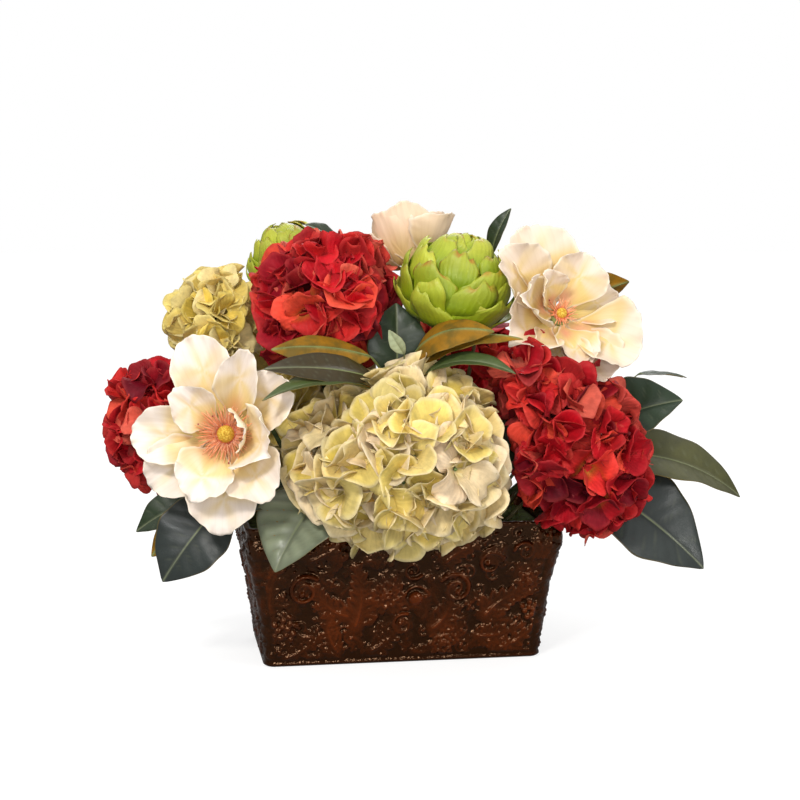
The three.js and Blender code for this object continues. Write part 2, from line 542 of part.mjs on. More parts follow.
// Florets are spread evenly over the dome, in layers, and each gives way to what lies on the head.
function hydrangeaSolid(head, ownHole, cutters) {
  const random = seeded(head.seed);
  const shape = shapeOf(head);
  const frame = frameAlong(vectorOf(head.axis));
  const share = 1 - Math.cos(radians(head.polar));
  const spacing = 1.07 * head.radius * Math.sqrt((2 * Math.PI * share) / head.florets);
  const blocked = Manifold.union(cutters);
  const solids = [clearOf(hydrangeaCore(head, frame, shape), cutters)];
  for (let k = 0; k < head.florets; k++) {
    const rise = 1 - (share * (k + 0.5)) / head.florets;
    const round = Math.sqrt(1 - rise ** 2);
    const turn = k * GOLDEN + 0.3 * (random() - 0.5);
    const out = toWorld(frame, V(0, 0, 0), round * Math.cos(turn), round * Math.sin(turn), rise);
    const layer = (2 * k) % LAYERS;
    const size = FLORET_SHARE * spacing * (0.94 + 0.12 * random());
    const spin = random() * Math.PI;
    for (const sink of [0, 0.05, 0.1, 0.16]) {
      const reach = head.radius * (0.99 - LAYER_STEP * layer - sink);
      const floret = floretSolid(head, shape, { out, reach, size, spin });
      if (floret.intersect(blocked).volume() < 1e-3) {
        solids.push(floret);
        break;
      }
    }
  }
  return largestPiece(Manifold.union(solids).subtract(ownHole));
}

// ---------------------------------------------------------------- artichokes

function artichokeSolid(globe) {
  const frame = frameAlong(vectorOf(globe.axis));
  const centre = vectorOf(globe.centre);
  const [wide, tall] = [globe.width, globe.height];
  const profile = [[0, -0.8], [0.6, -0.62], [0.82, 0], [0.6, 0.56], [0, 0.88]];
  const core = profile.map(([away, rise]) => V2(away * wide, rise * tall));
  const solids = [placedLathe(core, 10, frame, centre)];
  for (let k = 0; k < BRACTS; k++) {
    const climb = (k + 0.5) / BRACTS;
    const turn = globe.spin + k * GOLDEN;
    // Polar angles, counted from the tip of the globe, of the bract's root and tip.
    const root = Math.PI * (0.93 - 0.62 * climb);
    const tip = root - Math.PI * (0.34 - 0.1 * climb);
    const half = 0.33 - 0.12 * climb;
    const at = (polar, side, lift) => {
      const angle = turn + side / Math.max(Math.sin(polar), 0.3);
      const away = lift * wide * Math.sin(polar);
      return toWorld(frame, centre, away * Math.cos(angle), away * Math.sin(angle), lift * tall * Math.cos(polar));
    };
    const middle = root + 0.55 * (tip - root);
    const rows = [
      [at(root, -0.35 * half, 0.7), at(root, 0.35 * half, 0.7)],
      [at(middle, -half, 0.86), at(middle, 0, 0.93), at(middle, half, 0.86)],
      [at(tip, -0.3 * half, 1.02), at(tip, 0.3 * half, 1.02)],
    ];
    solids.push(bladeFrom(rows, BRACT));
  }
  return Manifold.union(solids);
}

// ---------------------------------------------------------------- magnolias

// Rows of points over one magnolia petal. It leaves the seat flat, below the stamens, then bends by its two lifts, is
// widest past its middle and cups across. grow widens and lengthens it, for the room it needs.
function petalRows(bloom, frame, [turn, length, width, liftRoot, liftTip, cup, drop], grow = 0) {
  const angle = radians(turn);
  const centre = vectorOf(bloom.centre);
  const clearReach = bloom.coneRadius + 5;
  let [reach, height, before] = [clearReach, 1 - drop, 0];
  const place = (along, across, rise) => {
    // Turn 90 is up the bloom, as it is seen from in front of it.
    const x = along * Math.cos(angle) - across * Math.sin(angle);
    const y = along * Math.sin(angle) + across * Math.cos(angle);
    return toWorld(frame, centre, x, y, rise);
  };
  const rowAt = (half, slope) => [-1, 0, 1].map((side) => {
    const raise = cup * half * side ** 2;
    return place(reach - raise * Math.sin(slope), side * half, height + raise * Math.cos(slope));
  });
  const root = [-1, 1].map((side) => place(2 - grow, side * (0.06 * width + grow), 0.4 - drop));
  const rows = [root, rowAt(0.15 * width + grow, 0)];
  for (const [share, spread] of [[0.36, 0.76], [0.74, 1], [1, 0.5]]) {
    const lift = radians(THREE.MathUtils.lerp(liftRoot, liftTip, (share + before) / 2));
    const step = (share - before) * (length - clearReach) + (share === 1 ? grow : 0);
    reach += step * Math.cos(lift);
    height += step * Math.sin(lift);
    rows.push(rowAt((width * spread) / 2 + grow, radians(THREE.MathUtils.lerp(liftRoot, liftTip, share))));
    before = share;
  }
  return rows;
}

// A small flat-topped seat that the petals grow from, with a socket for the stem below.
function receptacle(bloom, frame) {
  const profile = [V2(0, -13), V2(4.5, -13), V2(SEAT_RADIUS, -6), V2(SEAT_RADIUS, SEAT_TOP), V2(0, SEAT_TOP)];
  return placedLathe(profile, 8, frame, vectorOf(bloom.centre));
}

// The stamens: a low ring on the receptacle with tapered filaments standing out of it.
function stamenSolid(bloom, frame, random, petalRoom) {
  const centre = vectorOf(bloom.centre);
  const [inner, outer] = [bloom.coneRadius + CLEARANCE, bloom.coneRadius + 3];
  const floor = SEAT_TOP + CLEARANCE;
  const top = floor + 2.4;
  const ring = [V2(inner, floor), V2(outer, floor), V2(outer, top), V2(inner, top), V2(inner, floor)];
  const solids = [placedLathe(ring, 8, frame, centre)];
  for (let k = 0; k < bloom.stamens; k++) {
    const turn = k * GOLDEN;
    const lean = radians(25 + 45 * random());
    const length = bloom.stamenLength * (0.75 + 0.35 * random());
    const foot = bloom.coneRadius + 1.6;
    const at = (along, side, height) => {
      const reach = foot + along * Math.cos(lean) - height * Math.sin(lean);
      const rise = floor + 1.2 + along * Math.sin(lean) + height * Math.cos(lean);
      const x = reach * Math.cos(turn) - side * Math.sin(turn);
      const y = reach * Math.sin(turn) + side * Math.cos(turn);
      return toWorld(frame, centre, x, y, rise);
    };
    const points = [at(0, -0.7, 0), at(0, 0.7, 0), at(0, 0, 1.1), at(length, 0, 0.2)];
    const filament = solidFrom(points, [[0, 2, 1], [0, 1, 3], [1, 2, 3], [2, 0, 3]]);
    if (filament.intersect(petalRoom).volume() < 1e-4) solids.push(filament);
  }
  return largestPiece(Manifold.union(solids));
}

// The cone of carpels in the middle, on its own foot inside the stamens' ring.
function coneSolid(bloom, frame) {
  const r = bloom.coneRadius;
  const floor = SEAT_TOP + CLEARANCE;
  const profile = [[0, 0], [0.92, 0], [1, 0.5], [0.86, 1.1], [0.5, 1.6], [0, 1.8]];
  const points = profile.map(([reach, height]) => V2(reach * r, floor + height * r));
  return placedLathe(points, 8, frame, vectorOf(bloom.centre));
}

// ---------------------------------------------------------------- leaves

// Rows of points over one magnolia leaf, from its stalk on the fork to its tip.
function leafRows(joint, leaf, grow = 0) {
  const [base, tip] = [vectorOf(leaf.base), vectorOf(leaf.tip)];
  const along = V().subVectors(tip, base);
  const length = along.length();
  along.normalize();
  const face = vectorOf(leaf.face);
  face.addScaledVector(along, -face.dot(along)).normalize();
  const across = V().crossVectors(along, face);
  const bow = base.clone().lerp(tip, 0.5).addScaledVector(face, 2 * leaf.arch * length);
  const curve = new THREE.QuadraticBezierCurve3(base, bow, tip);
  const pair = (p, half) => [-1, 1].map((side) => p.clone().addScaledVector(across, side * (half + grow)));
  const stations = length < 60 ? SMALL_LEAF : LARGE_LEAF;
  const rows = stations.map(([share, spread]) => {
    const half = (leaf.width * spread) / 2 + grow;
    return [-1, 0, 1].map((side) => {
      const p = curve.getPoint(share).addScaledVector(across, side * half * (1 - 0.3 * leaf.fold));
      return p.addScaledVector(face, Math.abs(side) * half * leaf.fold);
    });
  });
  return [pair(joint, 1.1), pair(base, 1.5), ...rows, [tip.clone().addScaledVector(along, grow)]];
}

function sprigSolids(sprig) {
  const [x, y] = sprig.route[0];
  const entry = V(x, y, FOAM_TOP);
  const rest = sprig.route.slice(1).map(vectorOf);
  const down = V().subVectors(entry, rest[0]).normalize();
  const foot = entry.clone().addScaledVector(down, (0.7 * STEM_DEPTH) / Math.max(0.6, -down.z));
  const line = [foot, entry, ...rest];
  const fork = rest[rest.length - 1];
  const back = V().subVectors(rest[rest.length - 2], fork).normalize();
  const joints = sprig.leaves.map((leaf, k) => fork.clone().addScaledVector(back, 2 + 4.5 * k));
  const twig = rodAlong(line, TWIG_RADIUS, 5, 4);
  const blades = sprig.leaves.map((leaf, k) => bladeFrom(leafRows(joints[k], leaf), LEAF));
  const room = sprig.leaves.map((leaf, k) =>
    bladeFrom(leafRows(joints[k], leaf, CLEARANCE), LEAF + 2 * CLEARANCE));
  return { solid: Manifold.union([twig, ...blades]), room: [rodAlong(line, TWIG_RADIUS + CLEARANCE, 5, 4), ...room] };
}

// ---------------------------------------------------------------- the arrangement

const pieces = [];
const keep = (name, colour, solid) => pieces.push({ name, colour, solid });

const planter = planterSolid();
keep("planter", "glaze", planter);
const roomLevels = [-5, 28, 56, 82, PLANTER.height - PLANTER.rimBand, PLANTER.height + CLEARANCE];
const planterBlock = stackOfLoops(roomLevels.map((z) => planterLoop(z, -CLEARANCE)));
const planterRoom = Manifold.union([planterBlock, ...reliefSolids(CLEARANCE)]);
const aboveFoam = stackOfLoops([FOAM_TOP - 40, PLANTER.height + 5].map((z) => planterLoop(z, PLANTER.wall)));
// The planter's wall with a little room round it, open inside, for what hangs over the rim.
const planterWallRoom = planterRoom.subtract(aboveFoam);

// Stems come first: everything else leaves room for them.
const holes = [];
const stems = [];
for (const head of HYDRANGEAS) {
  const top = vectorOf(head.centre).addScaledVector(vectorOf(head.axis).normalize(), 0.05 * head.radius);
  stems.push({ name: head.name + "_stem", ...stemSolids(top, head.entry, STEM_RADIUS) });
}
for (const globe of ARTICHOKES) {
  const top = vectorOf(globe.centre).addScaledVector(vectorOf(globe.axis).normalize(), -0.5 * globe.height);
  stems.push({ name: globe.name + "_stem", ...stemSolids(top, globe.entry, STEM_RADIUS) });
}
for (const bloom of MAGNOLIAS) {
  const axis = vectorOf(bloom.axis).normalize();
  const top = vectorOf(bloom.centre).addScaledVector(axis, -8);
  const bend = vectorOf(bloom.centre).addScaledVector(axis, -30).add(V(0, 0, -12));
  stems.push({ name: bloom.name + "_stem", ...stemSolids(top, bloom.entry, STEM_RADIUS, bend) });
}
for (const { name, stem, hole } of stems) {
  keep(name, "stem", stem);
  holes.push(hole);
}

const taken = [...holes];
for (const bloom of MAGNOLIAS) {
  const frame = frameAlong(vectorOf(bloom.axis));
  const centre = vectorOf(bloom.centre);
  const petals = bloom.petals.map((petal) => bladeFrom(petalRows(bloom, frame, petal), PETAL));
  const petalRooms = bloom.petals.map((petal) =>
    bladeFrom(petalRows(bloom, frame, petal, CLEARANCE), PETAL + 2 * CLEARANCE));
  // The stamens' ring and the cone sit in this shallow well.
  const [wellRadius, wellTop] = [bloom.coneRadius + 4, SEAT_TOP + WELL_DEPTH];
  const wellProfile = [V2(0, SEAT_TOP), V2(wellRadius, SEAT_TOP), V2(wellRadius, wellTop), V2(0, wellTop)];
  const well = placedLathe(wellProfile, 12, frame, centre);
  const corolla = Manifold.union([receptacle(bloom, frame), ...petals]).subtract(well);
  keep(bloom.name + "_petals", bloom.colour, clearOf(corolla, taken));
  const petalRoom = Manifold.union(petalRooms).subtract(well);
  keep(bloom.name + "_stamens", "stamen", stamenSolid(bloom, frame, seeded(bloom.stamens), petalRoom));
  keep(bloom.name + "_cone", "pistil", coneSolid(bloom, frame));
  taken.push(...petalRooms);
}

for (const globe of ARTICHOKES) {
  const solid = artichokeSolid(globe);
  keep(globe.name, "artichoke", clearOf(solid, taken));
  const frame = frameAlong(vectorOf(globe.axis));
  const room = [[0, -0.92], [0.6, -0.85], [1.04, -0.4], [1.1, 0.1], [0.9, 0.6], [0.5, 0.98], [0, 1.06]];
  const profile = room.map(([r, h]) => V2(r * globe.width, h * globe.height));
  taken.push(placedLathe(profile, 12, frame, vectorOf(globe.centre)));
}

const twigHoles = [];
for (const sprig of SPRIGS) {
  const { solid, room } = sprigSolids(sprig);
  keep(sprig.name, "leaf", clearOf(solid, [...taken, planterWallRoom]));
  taken.push(...room);
  twigHoles.push(room[0]);
}

for (const head of HYDRANGEAS) {
  const own = stems.find(({ name }) => name === head.name + "_stem").hole;
  const others = [...taken.filter((cutter) => cutter !== own), planterRoom];
  keep(head.name, head.colour, hydrangeaSolid(head, own, others));
}
keep("floral_foam", "foam", foamSolid([...holes, ...twigHoles]));

const centerpiece = new THREE.Group();
for (const { name, colour, solid } of pieces) {
  const { vertProperties, triVerts } = solid.getMesh();
  const geometry = new THREE.BufferGeometry();
  geometry.setAttribute("position", new THREE.BufferAttribute(new Float32Array(vertProperties), 3));
  geometry.setIndex(new THREE.BufferAttribute(new Uint32Array(triVerts), 1));
  geometry.computeVertexNormals();
  const [hex, roughness] = COLOURS[colour];
  const mesh = new THREE.Mesh(geometry, new THREE.MeshStandardMaterial({ color: hex, roughness, metalness: 0 }));
  mesh.name = name;
  centerpiece.add(mesh);
}

export default centerpiece;
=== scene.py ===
"""Floral table centerpiece: the looks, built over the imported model.

Lengths in the tables are millimetres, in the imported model's frame: +Z is up, +X runs along the planter's
long side and -Y is the front. Every head, bloom, sprig and the planter is a fine piece in the place of its
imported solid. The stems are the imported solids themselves.
"""

import math

import bpy
import numpy as np
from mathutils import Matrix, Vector


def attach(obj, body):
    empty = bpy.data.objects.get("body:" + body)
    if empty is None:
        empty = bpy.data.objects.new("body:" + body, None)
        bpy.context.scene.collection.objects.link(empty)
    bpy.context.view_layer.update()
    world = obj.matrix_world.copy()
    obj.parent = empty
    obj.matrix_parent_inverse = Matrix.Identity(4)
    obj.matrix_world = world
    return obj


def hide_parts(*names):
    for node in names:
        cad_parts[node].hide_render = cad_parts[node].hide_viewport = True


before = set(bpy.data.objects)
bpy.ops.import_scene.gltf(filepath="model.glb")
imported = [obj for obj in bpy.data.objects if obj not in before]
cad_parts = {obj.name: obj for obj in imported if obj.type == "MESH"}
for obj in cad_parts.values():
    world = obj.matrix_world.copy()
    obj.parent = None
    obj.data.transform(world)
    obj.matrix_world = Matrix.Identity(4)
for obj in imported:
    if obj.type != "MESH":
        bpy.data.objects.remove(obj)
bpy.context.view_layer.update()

MM = 0.001
GOLDEN = math.pi * (3 - math.sqrt(5))

# ---------------------------------------------------------------- dimensions

PLANTER_HEIGHT = 125
FOOT_HALF = (122, 60)
RIM_HALF = (138, 77)
RIM_BAND = 22
WALL = 5
FLOOR = 7
CORNER = 10
FOAM_TOP = 112
RELIEF_DEPTH = 2.0  # scales every height on the planter's faces
RELIEF_SINK = 0.6  # how far the ground between the forms lies behind the planter's outline
RELIEF_STEP = 0.8  # between the points of a face's height map
RING_STEP = 1.15  # between points round the planter, along its flat faces
CORNER_STEPS = 9  # points round one of its corners

HEAD_GAP = 1.5  # kept free between a hydrangea head and its neighbour
GLOBE_ROOM = 3  # kept free round an artichoke
FREE_SHARE = 0.8  # of the room towards a neighbour, up to which a head keeps its own shape
FLORET_REACH = 0.9  # a petal's length as a share of the distance between flowers
PETAL_GRID = 29  # points each way on a magnolia's petal
BRACTS = 44  # on each artichoke

FLORET_THICK = 0.6
MAGNOLIA_THICK = 0.75
LEAF_THICK = 0.75
BRACT_THICK = 1.5
STALK_RADIUS = 0.9  # of a hydrangea floret's stalk
TWIG_RADIUS = 1.7
TWIG_DEPTH = 29  # of a twig's end below the foam's top
MOSS_GAP = 0.8  # between the moss and the planter's wall
TUFTS = 900

CAMERA_AZIMUTH = -9  # degrees, to the left of the front
CAMERA_ELEVATION = 7
CAMERA_DISTANCE = 1600
CAMERA_TARGET = (5.75, 0, 223.24)
CAMERA_LENS = 80.76

# Hydrangea heads: a dome round its axis, stretched by factor along pull. florets is the number of flowers.
HEADS = [
    dict(name="hydrangea_cream_front", colour="cream", centre=(-8, -88, 186), radius=107,
         axis=(-0.08, -0.97, 0.22), polar=112, pull=(0, 0, 1), factor=0.83, florets=60, seed=11),
    dict(name="hydrangea_red_top", colour="crimson", centre=(-57, -3, 309), radius=77,
         axis=(-0.15, -0.62, 0.77), polar=122, pull=(0, 0, 1), factor=0.91, florets=38, seed=12),
    dict(name="hydrangea_red_right", colour="crimson", centre=(131, -86, 197), radius=74,
         axis=(0.35, -0.82, 0.45), polar=118, pull=(-0.65, 0, 0.76), factor=1.3, florets=48, seed=13),
    dict(name="hydrangea_red_left", colour="crimson", centre=(-196, 32, 203), radius=64,
         axis=(-0.8, -0.42, 0.42), polar=122, pull=(0, 0, 1), factor=1.04, florets=32, seed=14),
    dict(name="hydrangea_olive_left", colour="olive", centre=(-151, 50, 289), radius=52,
         axis=(-0.6, -0.1, 0.8), polar=122, pull=(0, 0, 1), factor=1.05, florets=24, seed=15),
    dict(name="hydrangea_cream_back", colour="cream", centre=(-70, 110, 218), radius=80,
         axis=(-0.3, 0.85, 0.42), polar=150, pull=(0, 0, 1), factor=1.0, florets=52, seed=16),
    dict(name="hydrangea_red_back", colour="crimson", centre=(78, 104, 226), radius=76,
         axis=(0.4, 0.8, 0.45), polar=150, pull=(0, 0, 1), factor=1.0, florets=52, seed=17),
]

# Artichoke heads: the globe's centre, half width and half height, the way it points, and its first bract's
# turn.
GLOBES = [
    dict(name="artichoke_centre", centre=(47, -46, 324), width=50, height=46, axis=(0.22, 0.02, 0.97),
         spin=0.3),
    dict(name="artichoke_back_left", centre=(-79, 96, 335), width=41, height=42, axis=(-0.3, 0.16, 0.94),
         spin=1.1),
]

# Balls that the hydrangea domes are pressed back from.
GUARDS = [((156, -60, 312), 46), ((-146, -96, 208), 33), ((-78, -112, 270), 31), ((50, -116, 284), 22)]

# Magnolia blooms. Each petal: turn round the axis in degrees, length, width, lift at the root and at the tip
# in degrees, how deep it cups across, how far below the innermost petals it leaves the seat, and its rim's
# ruffle.
BLOOMS = [
    dict(name="magnolia_left", centre=(-154, -86, 208), axis=(-0.17, -0.97, 0.2), cone=7, filaments=150,
         filament=19, paint="ivory", petals=[
             (182, 79, 50, 20, 2, 0.35, 3, 1.8), (142, 62, 38, 38, 34, 0.4, 0, 1.4),
             (110, 88, 52, 18, 10, 0.4, 4.5, 2.0), (74, 82, 36, 34, 38, 0.55, 1.5, 1.6),
             (40, 74, 50, 14, 36, 0.35, 4, 1.8), (-14, 60, 54, 42, 66, 0.45, 2, 2.2),
             (-54, 72, 54, 24, 30, 0.35, 3.5, 1.8), (-92, 83, 58, 6, 4, 0.35, 5.5, 2.6),
             (-116, 67, 50, 34, 26, 0.35, 1.5, 2.6), (-146, 77, 52, 10, 4, 0.35, 5, 2.2),
             (14, 45, 38, 62, 108, 0.4, 0, 1.6),
         ]),
    dict(name="magnolia_right", centre=(134, -68, 302), axis=(0.12, -0.85, 0.5), cone=4.5, filaments=46,
         filament=10, paint="blush", petals=[
             (106, 84, 64, 20, 10, 0.4, 4, 1.8), (58, 60, 48, 36, 30, 0.45, 1.5, 2.0),
             (16, 58, 52, 10, 14, 0.4, 5, 2.0),
             (-38, 76, 68, 18, 12, 0.4, 4, 2.2), (-64, 70, 58, 4, 6, 0.35, 5.5, 2.6),
             (-84, 60, 40, 28, 16, 0.35, 1.5, 2.8), (142, 82, 58, 24, 40, 0.35, 2.5, 2.0),
             (128, 50, 32, 56, 64, 0.4, 0, 1.6), (178, 64, 48, 34, 66, 0.4, 0.5, 2.4),
             (208, 67, 60, 20, 28, 0.45, 3, 2.8), (254, 60, 54, 16, 12, 0.4, 4, 2.6),
         ]),
    dict(name="magnolia_back", centre=(24, 42, 344), axis=(-0.2, 0.3, 0.93), cone=5.5, filaments=60,
         filament=11, paint="peach", petals=[
             (4, 65, 56, 52, 90, 0.36, 3, 1.2), (52, 69, 54, 58, 86, 0.4, 5, 1.0),
             (104, 62, 58, 26, 50, 0.4, 3, 1.2), (150, 60, 50, 44, 66, 0.45, 1, 1.2),
             (205, 60, 48, 48, 84, 0.4, 4, 1.2), (258, 60, 50, 54, 92, 0.4, 1, 1.2),
             (312, 60, 46, 38, 70, 0.3, 4, 1.2), (340, 66, 36, 12, 16, 0.25, 6, 1.0),
         ]),
]

# Sprigs of magnolia leaves. route is the twig from the foam to its fork. Each leaf: where its blade starts,
# its tip, its width, the way its glossy face looks, its arch, the fold along its rib, and its green.
SPRIGS = {
    "sprig_centre_left": dict(route=[(-12, -22), (-16, -38, 190), (-16, -54, 254)], leaves=[
        ((-32, -78, 270), (-116, -84, 278), 34, (0.1, 0.75, -0.65), -0.1, 0.3, "deep"),
        ((-28, -82, 252), (-124, -106, 264), 28, (-0.1, -0.8, 0.55), 0.1, 0.15, "dusty"),
        ((-34, -94, 246), (-127, -124, 240), 30, (0, -0.18, 0.98), 0.1, 0.2, "bright"),
    ]),
    "sprig_centre_right": dict(route=[(8, -24), (4, -40, 190), (1, -56, 256)], leaves=[
        ((6, -68, 268), (67, -114, 293), 40, (-0.2, 0.7, -0.68), -0.2, 0.2, "deep"),
        ((10, -74, 262), (90, -120, 287), 32, (-0.1, 0.35, -0.93), -0.14, 0.3, "bright"),
        ((12, -86, 254), (82, -130, 259), 26, (0, -0.45, 0.9), 0.16, 0.25, "bright"),
        ((-3, -78, 272), (-17, -84, 293), 12, (-0.4, -0.9, 0.1), 0.05, 0.2, "pale"),
        ((-4, -44, 248), (-3, -34, 312), 54, (0, -0.95, 0.3), 0.05, 0.1, "deep"),
    ]),
    "sprig_top": dict(route=[(40, 12), (72, 14, 250), (84, 6, 335)], leaves=[
        ((87, -4, 352), (103, -12, 393), 19, (-0.75, -0.6, 0.3), 0.08, 0.3, "deep"),
    ]),
    "sprig_top_left": dict(route=[(-10, 24), (-18, 58, 250), (-34, 66, 338)], leaves=[
        ((-38, 62, 354), (-74, 46, 378), 24, (0.1, -0.45, 0.9), 0.1, 0.25, "deep"),
    ]),
    "sprig_right_back": dict(route=[(78, 14), (122, 14, 230), (148, -4, 300)], leaves=[
        ((162, -8, 306), (210, -18, 328), 40, (-0.25, 0.85, 0.45), 0.06, 0.2, "deep"),
    ]),
    "sprig_right_upper": dict(route=[(94, 0), (134, -4, 165), (170, -10, 196)], leaves=[
        ((184, -26, 200), (252, -48, 224), 64, (0.1, -0.7, 0.7), 0.08, 0.3, "glossy"),
        ((222, -6, 243), (267, -12, 240), 18, (0, -0.1, 0.99), 0.05, 0.1, "deep"),
    ]),
    "sprig_right_lower": dict(route=[(96, -20), (128, -28, 146), (152, -32, 160)], leaves=[
        ((168, -44, 154), (264, -78, 78), 84, (0.2, -0.85, 0.5), 0.08, 0.15, "slate"),
        ((180, -26, 174), (312, -34, 133), 64, (0.15, -0.6, 0.78), 0.14, 0.2, "moss"),
        ((132, -26, 158), (70, -14, 208), 44, (0, -0.97, 0.2), 0.05, 0.1, "deep"),
    ]),
    "sprig_left_low": dict(route=[(-98, -16), (-126, -22, 142), (-146, -28, 150)], leaves=[
        ((-152, -48, 148), (-208, -60, 79), 66, (-0.25, -0.9, 0.3), 0.12, 0.15, "slate"),
        ((-168, -28, 146), (-229, -20, 115), 36, (-0.3, -0.7, 0.6), 0.1, 0.2, "deep"),
        ((-166, -12, 142), (-216, -2, 89), 34, (0.4, 0.85, -0.2), -0.1, 0.2, "deep"),
    ]),
    "sprig_front": dict(route=[(-56, -34), (-62, -44, 140), (-66, -52, 156)], leaves=[
        ((-62, -68, 160), (-117, -115, 96), 84, (-0.4, -0.55, 0.6), 0.1, 0.12, "sage"),
        ((-94, -54, 160), (-146, -70, 136), 34, (-0.2, -0.5, 0.8), 0.05, 0.2, "deep"),
    ]),
    "sprig_back_left": dict(route=[(-84, 26), (-110, 48, 146), (-122, 60, 152)], leaves=[
        ((-138, 70, 152), (-207, 104, 92), 56, (-0.5, 0.5, 0.7), 0.14, 0.2, "slate"),
        ((-124, 78, 144), (-156, 142, 94), 54, (-0.2, 0.8, 0.55), 0.14, 0.2, "deep"),
    ]),
    "sprig_back_middle": dict(route=[(0, 42), (2, 62, 140), (3, 74, 146)], leaves=[
        ((-8, 86, 144), (-36, 158, 96), 54, (-0.1, 0.6, 0.8), 0.16, 0.2, "moss"),
        ((14, 86, 144), (52, 156, 94), 54, (0.15, 0.6, 0.8), 0.16, 0.2, "slate"),
    ]),
    "sprig_back_right": dict(route=[(92, 28), (122, 48, 148), (138, 56, 158)], leaves=[
        ((154, 64, 158), (226, 86, 112), 56, (0.5, 0.3, 0.8), 0.16, 0.2, "glossy"),
        ((144, 74, 150), (174, 148, 102), 52, (0.2, 0.75, 0.6), 0.14, 0.2, "deep"),
        ((162, 46, 176), (230, 28, 190), 46, (0.2, 0.5, 0.85), 0.12, 0.2, "moss"),
    ]),
    "sprig_back_top": dict(route=[(16, 38), (8, 56, 230), (2, 70, 288)], leaves=[
        ((-10, 84, 300), (-46, 144, 308), 40, (-0.2, 0.3, 0.93), 0.14, 0.25, "deep"),
        ((14, 84, 300), (52, 148, 310), 42, (0.2, 0.3, 0.93), 0.14, 0.25, "glossy"),
        ((2, 90, 286), (6, 160, 266), 38, (0, 0.5, 0.85), 0.16, 0.25, "slate"),
    ]),
}

# ---------------------------------------------------------------- colours


def linear(code):
    """The linear colour of a hex sRGB code."""
    parts = np.array([int(code[k:k + 2], 16) / 255 for k in (1, 3, 5)])
    return np.where(parts <= 0.04045, parts / 12.92, ((parts + 0.055) / 1.055) ** 2.4)


def rgba(code):
    return (*linear(code), 1)


# What a floret may be coloured, with how often, then its root, its back and how much of the back's own colour
# shows, its eye, the colour of the head's inside, which is painted shade that fills the gaps between the
# flowers, and the share of flowers that blush round the eye.
FLORETS = {
    "cream": dict(petals=[("#d4be66", 6), ("#dfcc80", 5), ("#c2ac50", 3), ("#dcc89a", 3), ("#e6d0ae", 2)],
                  root="#a89438", back="#dcc592", paleness=0.5, eye="#6f8450", inside="#5a4a14",
                  blush="#dc8a3c", blushing=0.18),
    "olive": dict(petals=[("#d8be58", 4), ("#e2cd78", 4), ("#c2a844", 2), ("#e0d09a", 2)],
                  root="#94862a", back="#dcca8e", paleness=0.5, eye="#6f8450", inside="#54461a",
                  blush="#c08a3a", blushing=0.1),
    "crimson": dict(petals=[("#a80c1a", 6), ("#ba1620", 5), ("#cc2a26", 4), ("#e04c36", 3), ("#dc6450", 3),
                            ("#7c0a1c", 4), ("#5c0818", 2)],
                    root="#8a0a10", back="#9c1420", paleness=0.5, eye="#d8b0a0", inside="#460408",
                    blush="#b8983c", blushing=0.12),
}
GREENS = {
    "deep": "#26331f", "glossy": "#22331f", "slate": "#2b312f", "moss": "#454522", "sage": "#747b64",
    "dusty": "#342a12", "bright": "#46542c", "pale": "#a3ac8a",
}
LEAF_BACK = "#926600"

# ---------------------------------------------------------------- vectors and curves


def unit(vector):
    vector = np.asarray(vector, float)
    return vector / np.maximum(np.linalg.norm(vector, axis=-1, keepdims=True), 1e-9)


def smooth(value, low, high):
    share = np.clip((np.asarray(value, float) - low) / (high - low), 0, 1)
    return share * share * (3 - 2 * share)


def mix(a, b, share):
    """Blends two colours, or arrays of them, by a share or an array of shares."""
    share = np.asarray(share, float)[..., None]
    return np.asarray(a) * (1 - share) + np.asarray(b) * share


def frame_along(axis):
    """Three unit rows with the last along axis and the first level with the ground where it can be."""
    up = unit(axis)
    hint = (1, 0, 0) if abs(up[2]) > 0.98 else (0, 0, 1)
    side = unit(np.cross(hint, up))
    return np.array([side, np.cross(up, side), up])


def turned(local, angle):
    """Turns local points, whose first two coordinates lie in the plane, about the third."""
    c, s = math.cos(angle), math.sin(angle)
    x, y, z = local[..., 0], local[..., 1], local[..., 2]
    return np.stack([x * c - y * s, x * s + y * c, z], -1)


def line_points(points, count):
    """Points spread evenly along a smooth line through the given ones."""
    points = np.array(points, float)
    padded = np.vstack([2 * points[0] - points[1], points, 2 * points[-1] - points[-2]])
    fine = []
    for k in range(len(points) - 1):
        a, b, c, d = padded[k:k + 4]
        t = np.linspace(0, 1, 24, endpoint=False)[:, None]
        fine.append(0.5 * (2 * b + (c - a) * t + (2 * a - 5 * b + 4 * c - d) * t ** 2
                           + (3 * b - a - 3 * c + d) * t ** 3))
    fine = np.vstack(fine + [points[-1:]])
    steps = np.concatenate([[0], np.cumsum(np.linalg.norm(np.diff(fine, axis=0), axis=1))])
    wanted = np.linspace(0, steps[-1], count)
    return np.stack([np.interp(wanted, steps, fine[:, k]) for k in range(3)], -1)


# ---------------------------------------------------------------- mesh making


